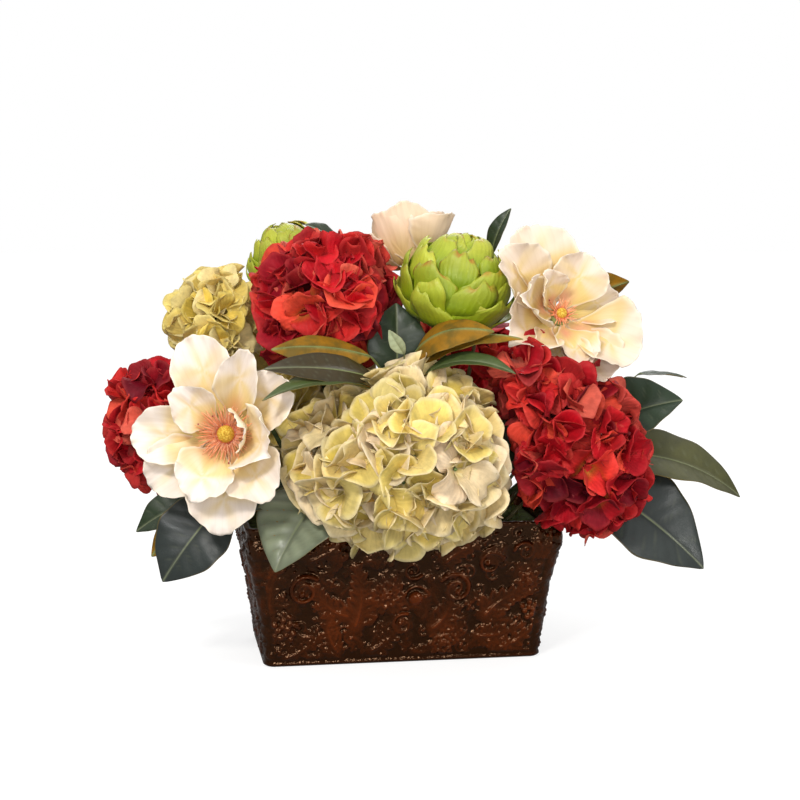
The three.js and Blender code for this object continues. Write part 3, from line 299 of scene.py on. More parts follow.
class Skin:
    """Gathers closed thin sheets, tubes and turned solids for one piece. Each vertex has a tint, and a mark
    of how far across and along its sheet it lies, how near the rim, and 1 on the back or 0 on the front."""

    def __init__(self):
        self.points, self.quads, self.triangles, self.tints, self.marks = [], [], [], [], []
        self.count = 0

    def add(self, points, faces, tint, mark):
        points = np.reshape(points, (-1, 3))
        faces = np.asarray(faces) + self.count
        (self.quads if faces.shape[1] == 4 else self.triangles).append(faces)
        self.points.append(points)
        self.tints.append(np.broadcast_to(np.reshape(tint, (-1, 3)), points.shape))
        self.marks.append(np.broadcast_to(np.reshape(mark, (-1, 4)), (len(points), 4)))
        self.count += len(points)

    def sheet(self, grid, thickness, front, back, across, along, rim):
        """A closed blade of that thickness about a grid of points, thinner at its rim."""
        rows, cols = grid.shape[:2]
        normal = unit(np.cross(np.gradient(grid, axis=1), np.gradient(grid, axis=0)))
        half = 0.5 * thickness * (1 - 0.6 * smooth(rim, 0.75, 1))
        offset = normal * half[..., None]
        ids = np.arange(rows * cols).reshape(rows, cols)
        quads = np.stack([ids[:-1, :-1], ids[:-1, 1:], ids[1:, 1:], ids[1:, :-1]], -1).reshape(-1, 4)
        edge = np.concatenate([ids[0, :-1], ids[:-1, -1], ids[-1, :0:-1], ids[:0:-1, 0]])
        after = np.roll(edge, -1)
        n = rows * cols
        walls = np.stack([edge, edge + n, after + n, after], -1)
        faces = np.vstack([quads, quads[:, ::-1] + n, walls])
        mark = [np.broadcast_to(part, (rows, cols)).ravel() for part in (across, along, rim)]
        marks = np.vstack([np.stack([*mark, np.full(n, side)], -1) for side in (0.0, 1.0)])
        tints = np.vstack([np.broadcast_to(part, (rows, cols, 3)).reshape(-1, 3) for part in (front, back)])
        self.add(np.stack([grid + offset, grid - offset]), faces, tints, marks)

    def barrel(self, points, rings, tint, mark):
        """A closed stack of rings of points, followed by the poles under its first and over its last ring."""
        sides = (len(points) - 2) // rings
        ids = np.arange(rings * sides).reshape(rings, sides)
        ahead = np.roll(ids, -1, axis=1)
        walls = np.stack([ids[:-1], ahead[:-1], ahead[1:], ids[1:]], -1).reshape(-1, 4)
        fans = np.vstack([np.stack([np.full(sides, ids.size), ahead[0], ids[0]], -1),
                          np.stack([np.full(sides, ids.size + 1), ids[-1], ahead[-1]], -1)])
        # Quads and triangles share these points, so the points go in once.
        self.quads.append(walls + self.count)
        self.add(points, fans, tint, mark)

    def tube(self, points, radii, sides, tint):
        """A closed round tube along points, with a radius at each."""
        points = np.asarray(points, float)
        radii = np.broadcast_to(radii, len(points))
        ahead = unit(np.gradient(points, axis=0))
        side = frame_along(ahead[0])[0]
        rings = []
        for point, way, radius in zip(points, ahead, radii):
            side = unit(side - way * (side @ way))
            other = np.cross(way, side)
            angles = np.arange(sides) * 2 * math.pi / sides
            rings.append(point + radius * (np.cos(angles)[:, None] * side + np.sin(angles)[:, None] * other))
        along = np.concatenate([np.repeat(np.linspace(0, 1, len(points)), sides), [0, 1]])
        mark = along[:, None] * (0, 1, 0, 0)
        self.barrel(np.vstack([*rings, points[:1], points[-1:]]), len(rings), tint, mark)

    def turn(self, profile, sides, rows, origin, tint, bump=None):
        """A closed turned solid: profile is (radius, height) pairs from the bottom pole to the top pole."""
        profile = np.asarray(profile, float)
        angles = np.arange(sides) * 2 * math.pi / sides
        middle = profile[1:-1]
        radius, height = middle[:, :1], middle[:, 1:]
        ring = np.stack([radius * np.cos(angles), radius * np.sin(angles),
                         np.broadcast_to(height, (len(middle), sides))], -1)
        if bump is not None:
            ring = ring * bump(ring)[..., None]
        local = np.vstack([ring.reshape(-1, 3), [[0, 0, profile[0, 1]], [0, 0, profile[-1, 1]]]])
        self.barrel(origin + local @ rows, len(middle), tint, (0.5, 0.5, 0, 0))

    def build(self, name, material):
        points, quads, triangles = np.vstack(self.points), np.vstack(self.quads), np.vstack(self.triangles)
        loops = np.concatenate([quads.ravel(), triangles.ravel()]).astype(np.int32)
        starts = np.concatenate([np.arange(len(quads)) * 4, quads.size + np.arange(len(triangles)) * 3])
        mesh = bpy.data.meshes.new(name)
        mesh.vertices.add(len(points))
        mesh.vertices.foreach_set("co", (points * MM).astype(np.float32).ravel())
        mesh.loops.add(len(loops))
        mesh.loops.foreach_set("vertex_index", loops)
        mesh.polygons.add(len(starts))
        mesh.polygons.foreach_set("loop_start", starts.astype(np.int32))
        mesh.update(calc_edges=True)
        mesh.polygons.foreach_set("use_smooth", np.ones(len(starts), bool))
        tints = np.hstack([np.vstack(self.tints), np.ones((len(points), 1))])
        for label, values in (("tint", tints), ("mark", np.vstack(self.marks))):
            layer = mesh.attributes.new(label, "FLOAT_COLOR", "POINT")
            layer.data.foreach_set("color", values.astype(np.float32).ravel())
        mesh.materials.append(material)
        return add_object(name, mesh)


def oval(wide, tall, steps):
    """The outline of a turned ball, from its bottom pole to its top pole."""
    return [(math.sin(a) * wide, -math.cos(a) * tall) for a in np.linspace(0, math.pi, steps)]


def add_object(name, data):
    made = bpy.data.objects.new(name, data)
    bpy.context.scene.collection.objects.link(made)
    return made


def place(piece, node):
    """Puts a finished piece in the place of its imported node."""
    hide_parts(node)
    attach(piece, "root")
    return piece


def disc_grid(size):
    """A square grid mapped to a unit disc, first row at the bottom, with each point's radius and turn."""
    a, b = np.meshgrid(np.linspace(-1, 1, size), np.linspace(-1, 1, size))
    x, y = a * np.sqrt(1 - b * b / 2), b * np.sqrt(1 - a * a / 2)
    return x, y, np.hypot(x, y), np.arctan2(x, y)


# ---------------------------------------------------------------- hydrangea heads


def shape_of(head):
    """The map from a round dome to its place: stretched, and squeezed where a neighbour shares the room."""
    centre, radius = np.array(head["centre"], float), head["radius"]
    along, factor = unit(head["pull"]), head["factor"]
    soft = [(other["centre"], other["radius"], False) for other in HEADS if other is not head]
    hard = [(globe["centre"], globe["width"] + GLOBE_ROOM, True) for globe in GLOBES]
    hard += [(*guard, True) for guard in GUARDS]
    presses = []
    for spot, size, is_hard in soft + hard:
        gap = np.array(spot, float) - centre
        apart = np.linalg.norm(gap)
        gap /= apart
        reach = radius * (1 + (factor - 1) * (gap @ along) ** 2)
        shared = (apart ** 2 + reach ** 2 - size ** 2) / (2 * apart)
        room = (apart - size if is_hard else shared) - HEAD_GAP
        if room < reach:
            presses.append((gap, room))

    def shape(points):
        p = points - centre
        p = p + (factor - 1) * (p @ along)[..., None] * along
        for normal, room in presses:
            free = FREE_SHARE * room
            over = p @ normal - free
            left = room - free
            back = np.where(over > 0, left * (1 - np.exp(-np.maximum(over, 0) / left)) - over, 0)
            p = p + back[..., None] * normal
        return p + centre

    return shape


def bent_petal(length, width, lift, reflex, cup, fold, ruffle, random, size):
    """A petal's points, grown from the origin along x, and their places across, along and near the rim."""
    x, y, rim, round_rim = disc_grid(size)
    phase = random.uniform(0, 6.3, 5)
    wobble = 1 + rim ** 3 * (0.05 * np.sin(3 * round_rim + phase[0])
                             + 0.03 * np.sin(7 * round_rim + phase[1]))
    x, y = x * wobble, y * wobble + 0.1 * rim ** 4 * np.exp(-(round_rim / 0.3) ** 2)
    along = (y + 1) / 2
    narrow = 0.34 + 0.66 * smooth(along, 0, 0.55)
    across = -0.5 * width * x * narrow
    stations = np.linspace(-0.1, 1.2, 40)
    slope = lift - reflex * smooth(stations, 0.1, 1.1)
    step = (stations[1] - stations[0]) * length
    reach, rise = np.cumsum(np.cos(slope)) * step, np.cumsum(np.sin(slope)) * step
    start = np.interp(0, stations, reach), np.interp(0, stations, rise)
    reach, rise = np.interp(along, stations, reach) - start[0], np.interp(along, stations, rise) - start[1]
    waves = np.sin(random.uniform(2.2, 3.6) * round_rim + phase[2])
    waves = waves + 0.55 * np.sin(random.uniform(5, 8) * round_rim + phase[3])
    raised = cup * 0.5 * width * x ** 2 * narrow + fold * np.abs(across) * smooth(along, 0.1, 0.5)
    raised = raised + ruffle * rim ** 2.5 * smooth(along, 0.1, 0.7) * waves
    raised = raised + random.normal(0, 0.25) * along * across
    here = lift - reflex * smooth(along, 0.1, 1.1)
    grid = np.stack([reach - raised * np.sin(here), across, rise + raised * np.cos(here)], -1)
    return grid, x, along, rim


def floret(skin, look, top, normal, bend_radius, sink, size, shade, fineness, random):
    """Four petals round an eye, their highest end sink below the surface at top. Gives the flower's root."""
    names, weights = zip(*look["petals"])
    shares = np.array(weights, float) / sum(weights)
    tone = linear(names[random.choice(len(names), p=shares)])
    blush = random.random() < look["blushing"]
    lift = math.radians(random.normal(48, 12) if random.random() < 0.82 else random.normal(76, 8))
    reflex = math.radians(random.normal(38, 24))
    rows = frame_along(unit(normal + random.normal(0, 0.24, 3)))
    spin = random.uniform(0, 6.3)
    petals = []
    for k in range(4):
        grid, across, along, rim = bent_petal(
            size * random.uniform(0.9, 1.08), size * random.uniform(0.92, 1.14),
            lift + math.radians(random.normal(0, 13)), reflex + math.radians(random.normal(0, 24)),
            random.normal(0.34, 0.24), random.uniform(0.2, 0.6) if random.random() < 0.35 else 0,
            0.085 * size * random.uniform(0.3, 1.4), random, fineness)
        grid[..., 0] += 0.8
        turn = spin + k * math.pi / 2 + random.normal(0, 0.16)
        petals.append((turned(grid, turn) @ rows, across, along, rim))
    whole = np.concatenate([grid.reshape(-1, 3) for grid, *_ in petals])
    height = whole @ normal
    aside = (whole ** 2).sum(-1) - height ** 2
    origin = top - normal * (np.max(height + aside / (2 * bend_radius)) + sink)
    for grid, across, along, rim in petals:
        other = linear(names[random.choice(len(names), p=shares)])
        # shade darkens the colours of the deep flowers: painted shade.
        own = mix(tone, other, 0.85 if random.random() < 0.4 else 0.2) * random.uniform(0.85, 1.15) * shade
        # Towards its root the petal takes the darker root colour: partly the petal's own greener base, partly
        # painted shade where the four petals meet.
        front = mix(own, linear(look["root"]) * shade, 0.7 * (1 - smooth(along, 0.02, 0.42)))
        if blush:
            front = mix(front, linear(look["blush"]), 0.75 * (1 - smooth(along, 0.05, 0.55)))
        back = mix(own, linear(look["back"]) * shade, look["paleness"])
        skin.sheet(origin + grid, FLORET_THICK, front, back, across, along, rim)
    skin.turn(oval(1.6, 1.6, 6), 7, rows, origin + 1.2 * rows[2], linear(look["eye"]))
    return origin


def make_head(head, material):
    random = np.random.default_rng(head["seed"])
    look = FLORETS[head["colour"]]
    centre, radius = np.array(head["centre"], float), head["radius"]
    rows = frame_along(head["axis"])
    shape = shape_of(head)
    skin = Skin()
    inside = linear(look["inside"])
    # The inside is a smaller dome, flattened below, painted dark as the shade that fills the gaps between the
    # flowers.
    dome = [(out, up if up > 0 else 0.3 * up) for out, up in oval(0.6 * radius, 0.6 * radius, 14)]
    skin.turn(dome, 24, rows, centre, inside)
    skin.points[0] = shape(skin.points[0])
    share = 1 - math.cos(math.radians(head["polar"]))
    spacing = radius * math.sqrt(2 * math.pi * share / head["florets"])
    # The flowers of the first layer reach the dome's surface. The others lie deep and fill the gaps, and
    # shade darkens their colours as painted shade.
    layers = ((head["florets"], 1.0, 11), (int(head["florets"] * 0.8), 0.88, 8))
    for layer, (count, shade, fineness) in enumerate(layers):
        for k in range(count):
            rise = np.clip(1 - share * (k + 0.5 + random.uniform(-0.4, 0.4)) / count, -1, 1)
            level = math.sqrt(1 - rise ** 2)
            turn = (k + 0.37 * layer) * GOLDEN + random.normal(0, 0.18) * spacing / radius / max(level, 0.3)
            out = np.array([level * math.cos(turn), level * math.sin(turn), rise]) @ rows
            side, other, _ = frame_along(out)
            top = shape(centre + radius * out)
            east = shape(centre + radius * unit(out + 0.12 * side)) - top
            north = shape(centre + radius * unit(out + 0.12 * other)) - top
            sink = random.uniform(-5, 3) if layer == 0 else random.uniform(8, 14) * radius / 90
            size = FLORET_REACH * spacing * random.uniform(0.9, 1.06)
            normal = unit(np.cross(east, north))
            origin = floret(skin, look, top, normal, radius, sink, size, shade, fineness, random)
            foot = shape(centre + out * 0.45 * radius)
            middle = 0.5 * (foot + origin) + random.normal(0, 1.5, 3)
            # The stalks take the inside's painted shade colour, a little lighter.
            skin.tube([foot, middle, origin], STALK_RADIUS, 5, inside * 1.4)
    piece = skin.build(head["name"] + "_bloom", material)
    return place(piece, head["name"])


# ---------------------------------------------------------------- magnolias

PAINTS = {
    "ivory": dict(outer="#eee2d8", inner="#e4cc92", root="#c8ae54", flush="#d9966e", back="#e6d8bc"),
    "blush": dict(outer="#e6d4c2", inner="#dcc17c", root="#c2a854", flush="#d68878", back="#e4d4b4"),
    "peach": dict(outer="#ecd8c4", inner="#e4c992", root="#c0a040", flush="#dc9682", back="#e8cdb0"),
}


def magnolia_petal(skin, bloom, rows, petal, random):
    turn, length, width, lift_root, lift_tip, cup, drop, ruffle = petal
    paint = PAINTS[bloom["paint"]]
    x, y, rim, round_rim = disc_grid(PETAL_GRID)
    phases = random.uniform(0, 6.3, 8)
    wobble = 1 + rim ** 4 * (0.025 * np.sin(4 * round_rim + phases[0])
                             + 0.018 * np.sin(9 * round_rim + phases[1])
                             + 0.012 * np.sin(17 * round_rim + phases[2]))
    x, y = x * wobble, y * wobble
    along = np.clip((y + 1) / 2, 0, 1.1) ** 0.66
    narrow = (0.34 + 0.66 * smooth(along, 0.02, 0.52)) * (1 - 0.2 * smooth(along, 0.75, 1.02))
    across = -0.5 * width * x * narrow
    clear = bloom["cone"] + 5
    start = 2.0
    stations = np.linspace(0, 1.08, 120)
    reach_at = start + stations * (length - start)
    share = np.clip((reach_at - clear) / (length - clear), 0, 1.1)
    slope = np.radians(lift_root + (lift_tip - lift_root) * share) * smooth(share, -0.02, 0.12)
    step = (stations[1] - stations[0]) * (length - start)
    reach = np.interp(along, stations, start + np.cumsum(np.cos(slope)) * step)
    rise = np.interp(along, stations, np.cumsum(np.sin(slope)) * step)
    here = np.interp(along, stations, slope)
    raised = 1.5 * cup * 0.5 * width * x ** 2 * narrow * smooth(along, 0.1, 0.4)
    waves = np.sin(3.3 * round_rim + phases[3]) + 0.7 * np.sin(6.7 * round_rim + phases[4])
    waves = waves + 0.45 * np.sin(12.3 * round_rim + phases[5]) + 0.25 * np.sin(21 * round_rim + phases[6])
    raised = raised + 1.4 * ruffle * waves * rim ** 5 * smooth(along, 0.25, 0.9)
    raised = raised + 0.5 * np.sin(9 * x + phases[7]) * smooth(along, 0.1, 0.5) * (1 - smooth(rim, 0.7, 1))
    # A soft crease along the middle.
    raised = raised - 0.9 * np.exp(-(x / 0.13) ** 2) * smooth(along, 0.1, 0.3) * (1 - smooth(along, 0.7, 1))
    height = 1 - drop + rise + raised * np.cos(here)
    grid = np.stack([reach - raised * np.sin(here), across, height], -1)
    root, inner, outer = (linear(paint[part]) for part in ("root", "inner", "outer"))
    reached = along + 0.12 * np.sin(5 * round_rim + phases[2]) + 0.15 * np.abs(x)
    front = mix(inner, outer, smooth(reached, 0.4, 0.98))
    front = mix(front, root, 0.85 * (1 - smooth(along + 0.05 * np.sin(7 * x + phases[1]), 0.12, 0.55)))
    flush = np.exp(-((along - 0.26) / 0.15) ** 2) * (0.35 + 0.35 * np.sin(4 * x + phases[0]))
    front = mix(front, linear(paint["flush"]), np.clip(flush, 0, 1))
    reached = along + 0.06 * np.sin(6 * x + phases[1])
    back = mix(linear(paint["back"]), root, 0.8 * (1 - smooth(reached, 0.1, 0.85)))
    local = turned(grid, math.radians(turn))
    skin.sheet(np.array(bloom["centre"]) + local @ rows, MAGNOLIA_THICK, front, back, x, along, rim)


def make_bloom(bloom, petal_material, thread_material, cone_material):
    random = np.random.default_rng(len(bloom["petals"]) * 7)
    rows = frame_along(bloom["axis"])
    centre = np.array(bloom["centre"], float)
    skin = Skin()
    for petal in bloom["petals"]:
        magnolia_petal(skin, bloom, rows, petal, random)
    seat = [(0, -13), (4.5, -13), (6.5, -9), (8.6, -5), (9, 0.5), (8, 2), (0, 2.2)]
    skin.turn(seat, 24, rows, centre, linear("#7d8a4a"))
    name = bloom["name"]
    place(skin.build(name + "_corolla", petal_material), name + "_petals")

    threads = Skin()
    foot = bloom["cone"] + 1.2
    ring = [(foot - 1, 2.5), (foot + 1.2, 2.5), (foot + 1.2, 4.6), (foot - 1, 4.6)]
    threads.turn([(0, 2.4), *ring, (0, 4.7)], 24, rows, centre, linear("#c8683a"))
    for k in range(bloom["filaments"]):
        turn = k * GOLDEN
        lean = math.radians(random.uniform(12, 72))
        length = bloom["filament"] * random.uniform(0.65, 1.12)
        t = np.linspace(0, 1, 6)
        bow = lean + math.radians(random.normal(0, 16)) * (t - 0.5)
        along = foot - 0.8 + random.uniform(0, 1.4) + length * t * np.cos(bow)
        side = random.normal(0, 0.1) * length * t ** 2
        height = 3.6 + length * t * np.sin(bow)
        local = turned(np.stack([along, side, height], -1), turn)
        tint = mix(linear("#ec8a50"), linear("#f8bc90"), random.random())
        threads.tube(centre + local @ rows, 0.55 * (1 - 0.55 * t), 5, tint)
        if random.random() < 0.06:
            threads.turn(oval(0.8, 0.8, 5), 6, rows, centre + local[-1] @ rows, linear("#9c1f2c"))
    place(threads.build(name + "_threads", thread_material), name + "_stamens")

    cone = Skin()
    profile = np.array([(0, 0), (0.92, 0), (1, 0.3), (1, 0.6), (0.93, 0.95), (0.78, 1.25), (0.55, 1.52),
                        (0.28, 1.72), (0, 1.8)])
    known = np.arange(len(profile))
    stations = np.linspace(0, known[-1], 26)
    fine = np.stack([np.interp(stations, known, column) for column in profile.T], -1)

    def knobbly(ring):
        angle = np.arctan2(ring[..., 1], ring[..., 0])
        return 1 + 0.05 * np.sin(9 * angle + 1.3 * ring[..., 2]) * np.sin(2.6 * ring[..., 2])

    cone.turn(fine * bloom["cone"] + (0, 2.6), 36, rows, centre, linear("#e8cb58"), knobbly)
    place(cone.build(name + "_carpels", cone_material), name + "_cone")


# ---------------------------------------------------------------- artichokes


def make_globe(globe, material):
    random = np.random.default_rng(int(globe["width"]))
    rows = frame_along(globe["axis"])
    centre = np.array(globe["centre"], float)
    wide, tall = globe["width"], globe["height"]
    skin = Skin()
    skin.turn(oval(0.8 * wide, 0.84 * tall, 16), 28, rows, centre, linear("#5c6a14"))
    u, v = np.meshgrid(np.linspace(-1, 1, 13), np.linspace(0, 1, 19))
    for k in range(BRACTS):
        climb = (k + 0.5) / BRACTS
        turn = globe["spin"] + k * GOLDEN + random.normal(0, 0.08)
        root = math.pi * (0.96 - 0.76 * climb)
        tip = root - math.pi * (0.38 - 0.13 * climb) * random.uniform(0.9, 1.06)
        half = (0.53 - 0.2 * climb) * random.uniform(0.82, 1.14)
        skew = random.normal(0, 0.16)
        # Broad shoulders and a blunt tip with one or two shallow nicks.
        outline = (0.5 + 0.5 * smooth(v, 0, 0.45)) * np.sqrt(1 - 0.72 * smooth(v, 0.72, 1.03) ** 1.5)
        nick = 0.06 * smooth(v, 0.75, 1) * np.cos(u * random.uniform(4, 9) + random.uniform(-2, 2))
        along = v - 0.08 * np.abs(u) ** 3 * smooth(v, 0.5, 1) + skew * u * smooth(v, 0.5, 1) + nick
        polar = root + (tip - root) * along
        side = u * half * outline
        angle = turn + skew * (v - 0.3) + side / np.maximum(np.sin(np.clip(polar, 0.05, math.pi)), 0.3)
        open_out = random.uniform(0.3, 1.3) + (0.9 if k < 7 else 0)
        lift = 0.74 + 0.2 * smooth(along, 0, 0.55) + 0.055 * smooth(along, 0.5, 1.0)
        lift = lift + 0.07 * smooth(along, 0.7, 1.05) * open_out
        lift = lift + 0.05 * skew / 0.16 * u * smooth(along, 0.3, 0.9)
        lift = lift - 0.06 * np.abs(u) ** 1.6 * smooth(along, 0.1, 0.6)
        lift = lift + 0.012 * np.sin(3 * u + 5 * v + random.uniform(0, 6)) * smooth(along, 0.3, 0.8)
        lift = np.minimum(lift, 1.1)
        reach = lift * wide * np.sin(polar)
        local = np.stack([reach * np.cos(angle), reach * np.sin(angle), lift * tall * np.cos(polar)], -1)
        rim = np.maximum(np.abs(u), smooth(v, 0.6, 1.0))
        tone = mix(linear("#8fa312"), linear("#aeb42c"), random.random()) * random.uniform(0.85, 1.12)
        front = mix(linear("#748c06"), tone, smooth(v, 0.3, 0.8))
        front = mix(front, linear("#bcbc50"), 0.3 * smooth(v, 0.6, 0.95))
        patchy = 0.5 + 0.5 * np.sin(7 * u + 9 * v + random.uniform(0, 6))
        edge = smooth(rim, 0.84, 1.0) * smooth(v, 0.6, 0.9) * random.uniform(0, 1.1) * patchy
        front = mix(front, linear("#a86a1e"), np.clip(edge, 0, 1))
        skin.sheet(centre + local @ rows, BRACT_THICK, front, front * 0.8, u, v, rim)
    piece = skin.build(globe["name"] + "_bracts", material)
    return place(piece, globe["name"])


# ---------------------------------------------------------------- leaves

ACROSS = np.array([-1, -0.94, -0.84, -0.7, -0.54, -0.38, -0.24, -0.12, -0.05, 0,
                   0.05, 0.12, 0.24, 0.38, 0.54, 0.7, 0.84, 0.94, 1])


def leaf_blade(skin, joint, leaf, random):
    base, tip, width, face, arch, fold, green = leaf
    base, tip = np.array(base, float), np.array(tip, float)
    run = tip - base
    length = np.linalg.norm(run)
    along = run / length
    face = np.array(face, float)
    face = unit(face - along * (face @ along))
    across = np.cross(along, face)
    bow = 0.5 * (base + tip) + face * 2 * arch * length
    t = np.linspace(0, 1, 49)[:, None]
    u = ACROSS[None, :]
    share = t[..., None]
    middle = (1 - share) ** 2 * base + 2 * share * (1 - share) * bow + share ** 2 * tip
    outline = np.sin(math.pi * t ** 0.88) ** 0.82 * (1 - 0.12 * smooth(t, 0.8, 1.0))
    phase = random.uniform(0, 6.3, 4)
    uneven = 1 + 0.03 * np.sin(9 * t + phase[0]) + 0.015 * np.sin(23 * t + phase[1]) * np.sign(u)
    half = 0.5 * width * outline * uneven + 0.5
    veins = max(5, int(length / 11))
    climb = t - 0.22 * np.abs(u) ** 0.9 * (width / max(length, 1))
    quilt = np.abs(np.sin(math.pi * veins * climb)) ** 0.7
    mask = smooth(t, 0.03, 0.15) * (1 - smooth(t, 0.8, 0.98)) * smooth(np.abs(u), 0.04, 0.2)
    mask = mask * (1 - smooth(np.abs(u), 0.75, 1))
    # The second number is the strength of the painted light and shade on the quilting.
    depth, painted_quilt_light = (2.2, 0.5) if green == "sage" else (0.6, 0.24)
    wave = 0.035 * width * np.sin(2.2 * math.pi * t + phase[2] + (u > 0) * 1.7) * np.abs(u) ** 2 * outline
    wave = wave + 0.012 * width * np.sin(7 * math.pi * t + phase[3]) * np.abs(u) ** 3 * outline
    height = np.abs(u) * half * fold + wave + depth * quilt * mask * min(1, width / 50)
    groove = 0.5 * np.exp(-(u * half / 1.3) ** 2) * smooth(1 - t, 0.02, 0.25)
    grid = middle + across * (u * half * (1 - 0.3 * fold))[..., None] + face * (height - groove)[..., None]
    rim = np.maximum(np.abs(u), smooth(t, 0.95, 1.0))
    top = linear(GREENS[green])
    vein = np.exp(-(u * half / 0.9) ** 2)
    side_vein = (1 - smooth(np.abs(np.sin(math.pi * veins * climb)), 0.0, 0.22)) * mask
    front = mix(top, mix(top, linear("#a9b08a"), 0.5), 0.75 * vein + 0.18 * side_vein)
    # Painted light and shade: the blade is lighter on its quilted bulges and darker in the grooves of the
    # side veins.
    front = front * (1 - 0.5 * painted_quilt_light + painted_quilt_light * quilt * mask)[..., None]
    under = linear(LEAF_BACK) * random.uniform(0.85, 1.12)
    back = mix(under, linear("#7f8a52"), 0.95 * np.exp(-(u * half / 1.2) ** 2))
    back = mix(back, under * 0.6, 0.35 * side_vein)
    skin.sheet(grid, LEAF_THICK, front, back, u, t, rim)
    # The rib stands out under the blade, and carries on as the stalk.
    rib = [joint, 0.5 * (joint + base) - face * 0.8]
    rib += [middle[k, 0] - face * 0.55 for k in range(0, 45, 4)]
    rib = line_points(rib, 22)
    radii = np.interp(np.linspace(0, 1, 22), [0, 0.12, 0.3, 1], [1.3, 1.15, 0.85, 0.3])
    skin.tube(rib, radii, 8, linear("#727c48"))


def make_sprig(name, sprig, material):
    random = np.random.default_rng(len(name) * 13)
    skin = Skin()
    entry = np.array([*sprig["route"][0], FOAM_TOP], float)
    rest = [np.array(point, float) for point in sprig["route"][1:]]
    down = unit(entry - rest[0])
    line = [entry + down * TWIG_DEPTH, entry, *rest]
    fork = rest[-1]
    back = unit(rest[-2] - fork)
    points = line_points(line, 40)
    swell = TWIG_RADIUS + 0.12 * np.sin(np.arange(40) * 1.3)
    swell[-3:] *= (0.95, 0.85, 0.6)
    skin.tube(points, swell, 10, linear("#5a5230"))
    for k, leaf in enumerate(sprig["leaves"]):
        leaf_blade(skin, fork + back * (2 + 4.5 * k), leaf, random)
    piece = skin.build(name + "_leaves", material)
    return place(piece, name)


# ---------------------------------------------------------------- planter


def planter_half(z):
    """Half length and half width of the planter at a height: it flares in a shallow hollow curve."""
    share = np.clip(np.asarray(z, float) / (PLANTER_HEIGHT - RIM_BAND), 0, 1)
    flare = 0.45 * share + 0.55 * share ** 2.4
    return tuple(foot + (rim - foot) * flare for foot, rim in zip(FOOT_HALF, RIM_HALF))


def around(x, z, angle, reach):
    return x + reach * math.cos(angle), z + reach * math.sin(angle)


class Relief:
    """A height map over one flat face, in millimetres: x across from the face's middle and z up."""

    def __init__(self, half_width, step):
        self.x, self.z = np.meshgrid(np.arange(-half_width, half_width + step, step),
                                     np.arange(0, PLANTER_HEIGHT + step, step))
        self.h = np.zeros_like(self.x)

    def raise_to(self, height):
        self.h = np.maximum(self.h, height)

    def local(self, x, z, angle):
        c, s = math.cos(angle), math.sin(angle)
        dx, dz = self.x - x, self.z - z
        return dx * c + dz * s, -dx * s + dz * c

    def ball(self, x, z, radius, height):
        gap = ((self.x - x) ** 2 + (self.z - z) ** 2) / radius ** 2
        self.raise_to(height * np.sqrt(np.clip(1 - gap, 0, 1)))

    def lobe(self, x, z, angle, length, width, height):
        """A leaf lobe or flower petal: a teardrop with a grooved middle and a raised lip."""
        along, across = self.local(x, z, angle)
        share = np.clip(along / length, 0, 1)
        half = 0.5 * width * np.sin(math.pi * share ** 0.72) ** 0.6
        inside = (along > 0) & (along < length)
        spread = np.abs(across) / np.maximum(half, 1e-3)
        crown = np.sqrt(np.clip(1 - spread ** 3, 0, 1))
        hollow = 1 - 0.6 * np.exp(-(spread / 0.3) ** 2) * np.sin(math.pi * share)
        self.raise_to(np.where(inside, height * crown * hollow * (0.5 + 0.5 * share), 0))

    def stroke(self, points, widths, height):
        """A rounded ridge along a line of points, with a width at each."""
        best = np.zeros_like(self.h)
        for (x, z), width in zip(points, widths):
            gap = ((self.x - x) ** 2 + (self.z - z) ** 2) / (0.5 * width) ** 2
            best = np.maximum(best, np.sqrt(np.clip(1 - gap, 0, 1)) * min(1, width / 4))
        self.raise_to(height * best)

    def scroll(self, x, z, start, turns, outer, inner, width, height, hand=1):
        """A spiral ridge that winds inward to a bead."""
        t = np.linspace(0, 1, 90)
        angle = start + hand * t * turns * 2 * math.pi
        radius = outer + (inner - outer) * t ** 0.8
        points = np.stack([x + radius * np.cos(angle), z + radius * np.sin(angle)], -1)
        self.stroke(points, width * (1 - 0.5 * t), height)
        self.ball(*points[-1], width * 0.62, height * 1.15)

    def rosette(self, x, z, radius, petals, height):
        for ring, (share, count) in enumerate(((1.0, petals), (0.68, petals - 1))):
            for k in range(count):
                angle = 2 * math.pi * (k + 0.5 * ring) / count
                start = 0.18 * radius
                self.lobe(*around(x, z, angle, start), angle, share * radius - start, 5.0 * radius / petals,
                          height * (0.8 + 0.35 * ring))
        for k in range(9):
            spot = around(x, z, k * GOLDEN, 0.09 * radius * math.sqrt(k))
            self.ball(*spot, 0.09 * radius + 0.5, height * 1.4)

    def berries(self, x, z, radius, count, height):
        for k in range(count):
            reach = radius * math.sqrt((k + 0.3) / count)
            self.ball(*around(x, z, k * GOLDEN, reach), 0.62 * radius / math.sqrt(count) * 1.6,
                      height * (1.1 - 0.3 * reach / radius))

    def plume(self, x, z, angle, length, bend, lobes, width, height):
        """An acanthus plume: a curved spine with pairs of lobes that shorten towards its tip."""
        t = np.linspace(0, 1, 40)
        way = angle + bend * t
        xs = x + np.cumsum(np.cos(way)) * length / 40
        zs = z + np.cumsum(np.sin(way)) * length / 40
        for k in range(lobes):
            share = (k + 0.4) / lobes
            at = int(share * 39)
            size = width * (1 - 0.62 * share)
            for side in (-1, 1):
                lean = way[at] + side * (1.0 - 0.35 * share)
                self.lobe(xs[at], zs[at], lean, size, size * 0.66, height * (0.75 + 0.25 * share))
        self.lobe(xs[-8], zs[-8], way[-1], 0.5 * width, 0.36 * width, height)
        spine = list(zip(xs, zs))
        self.stroke(spine, 0.8 * width * (1 - 0.7 * t) + 2, height * 0.5)
        self.stroke(spine, 3.0 * (1 - 0.6 * t) + 0.8, height * 0.95)


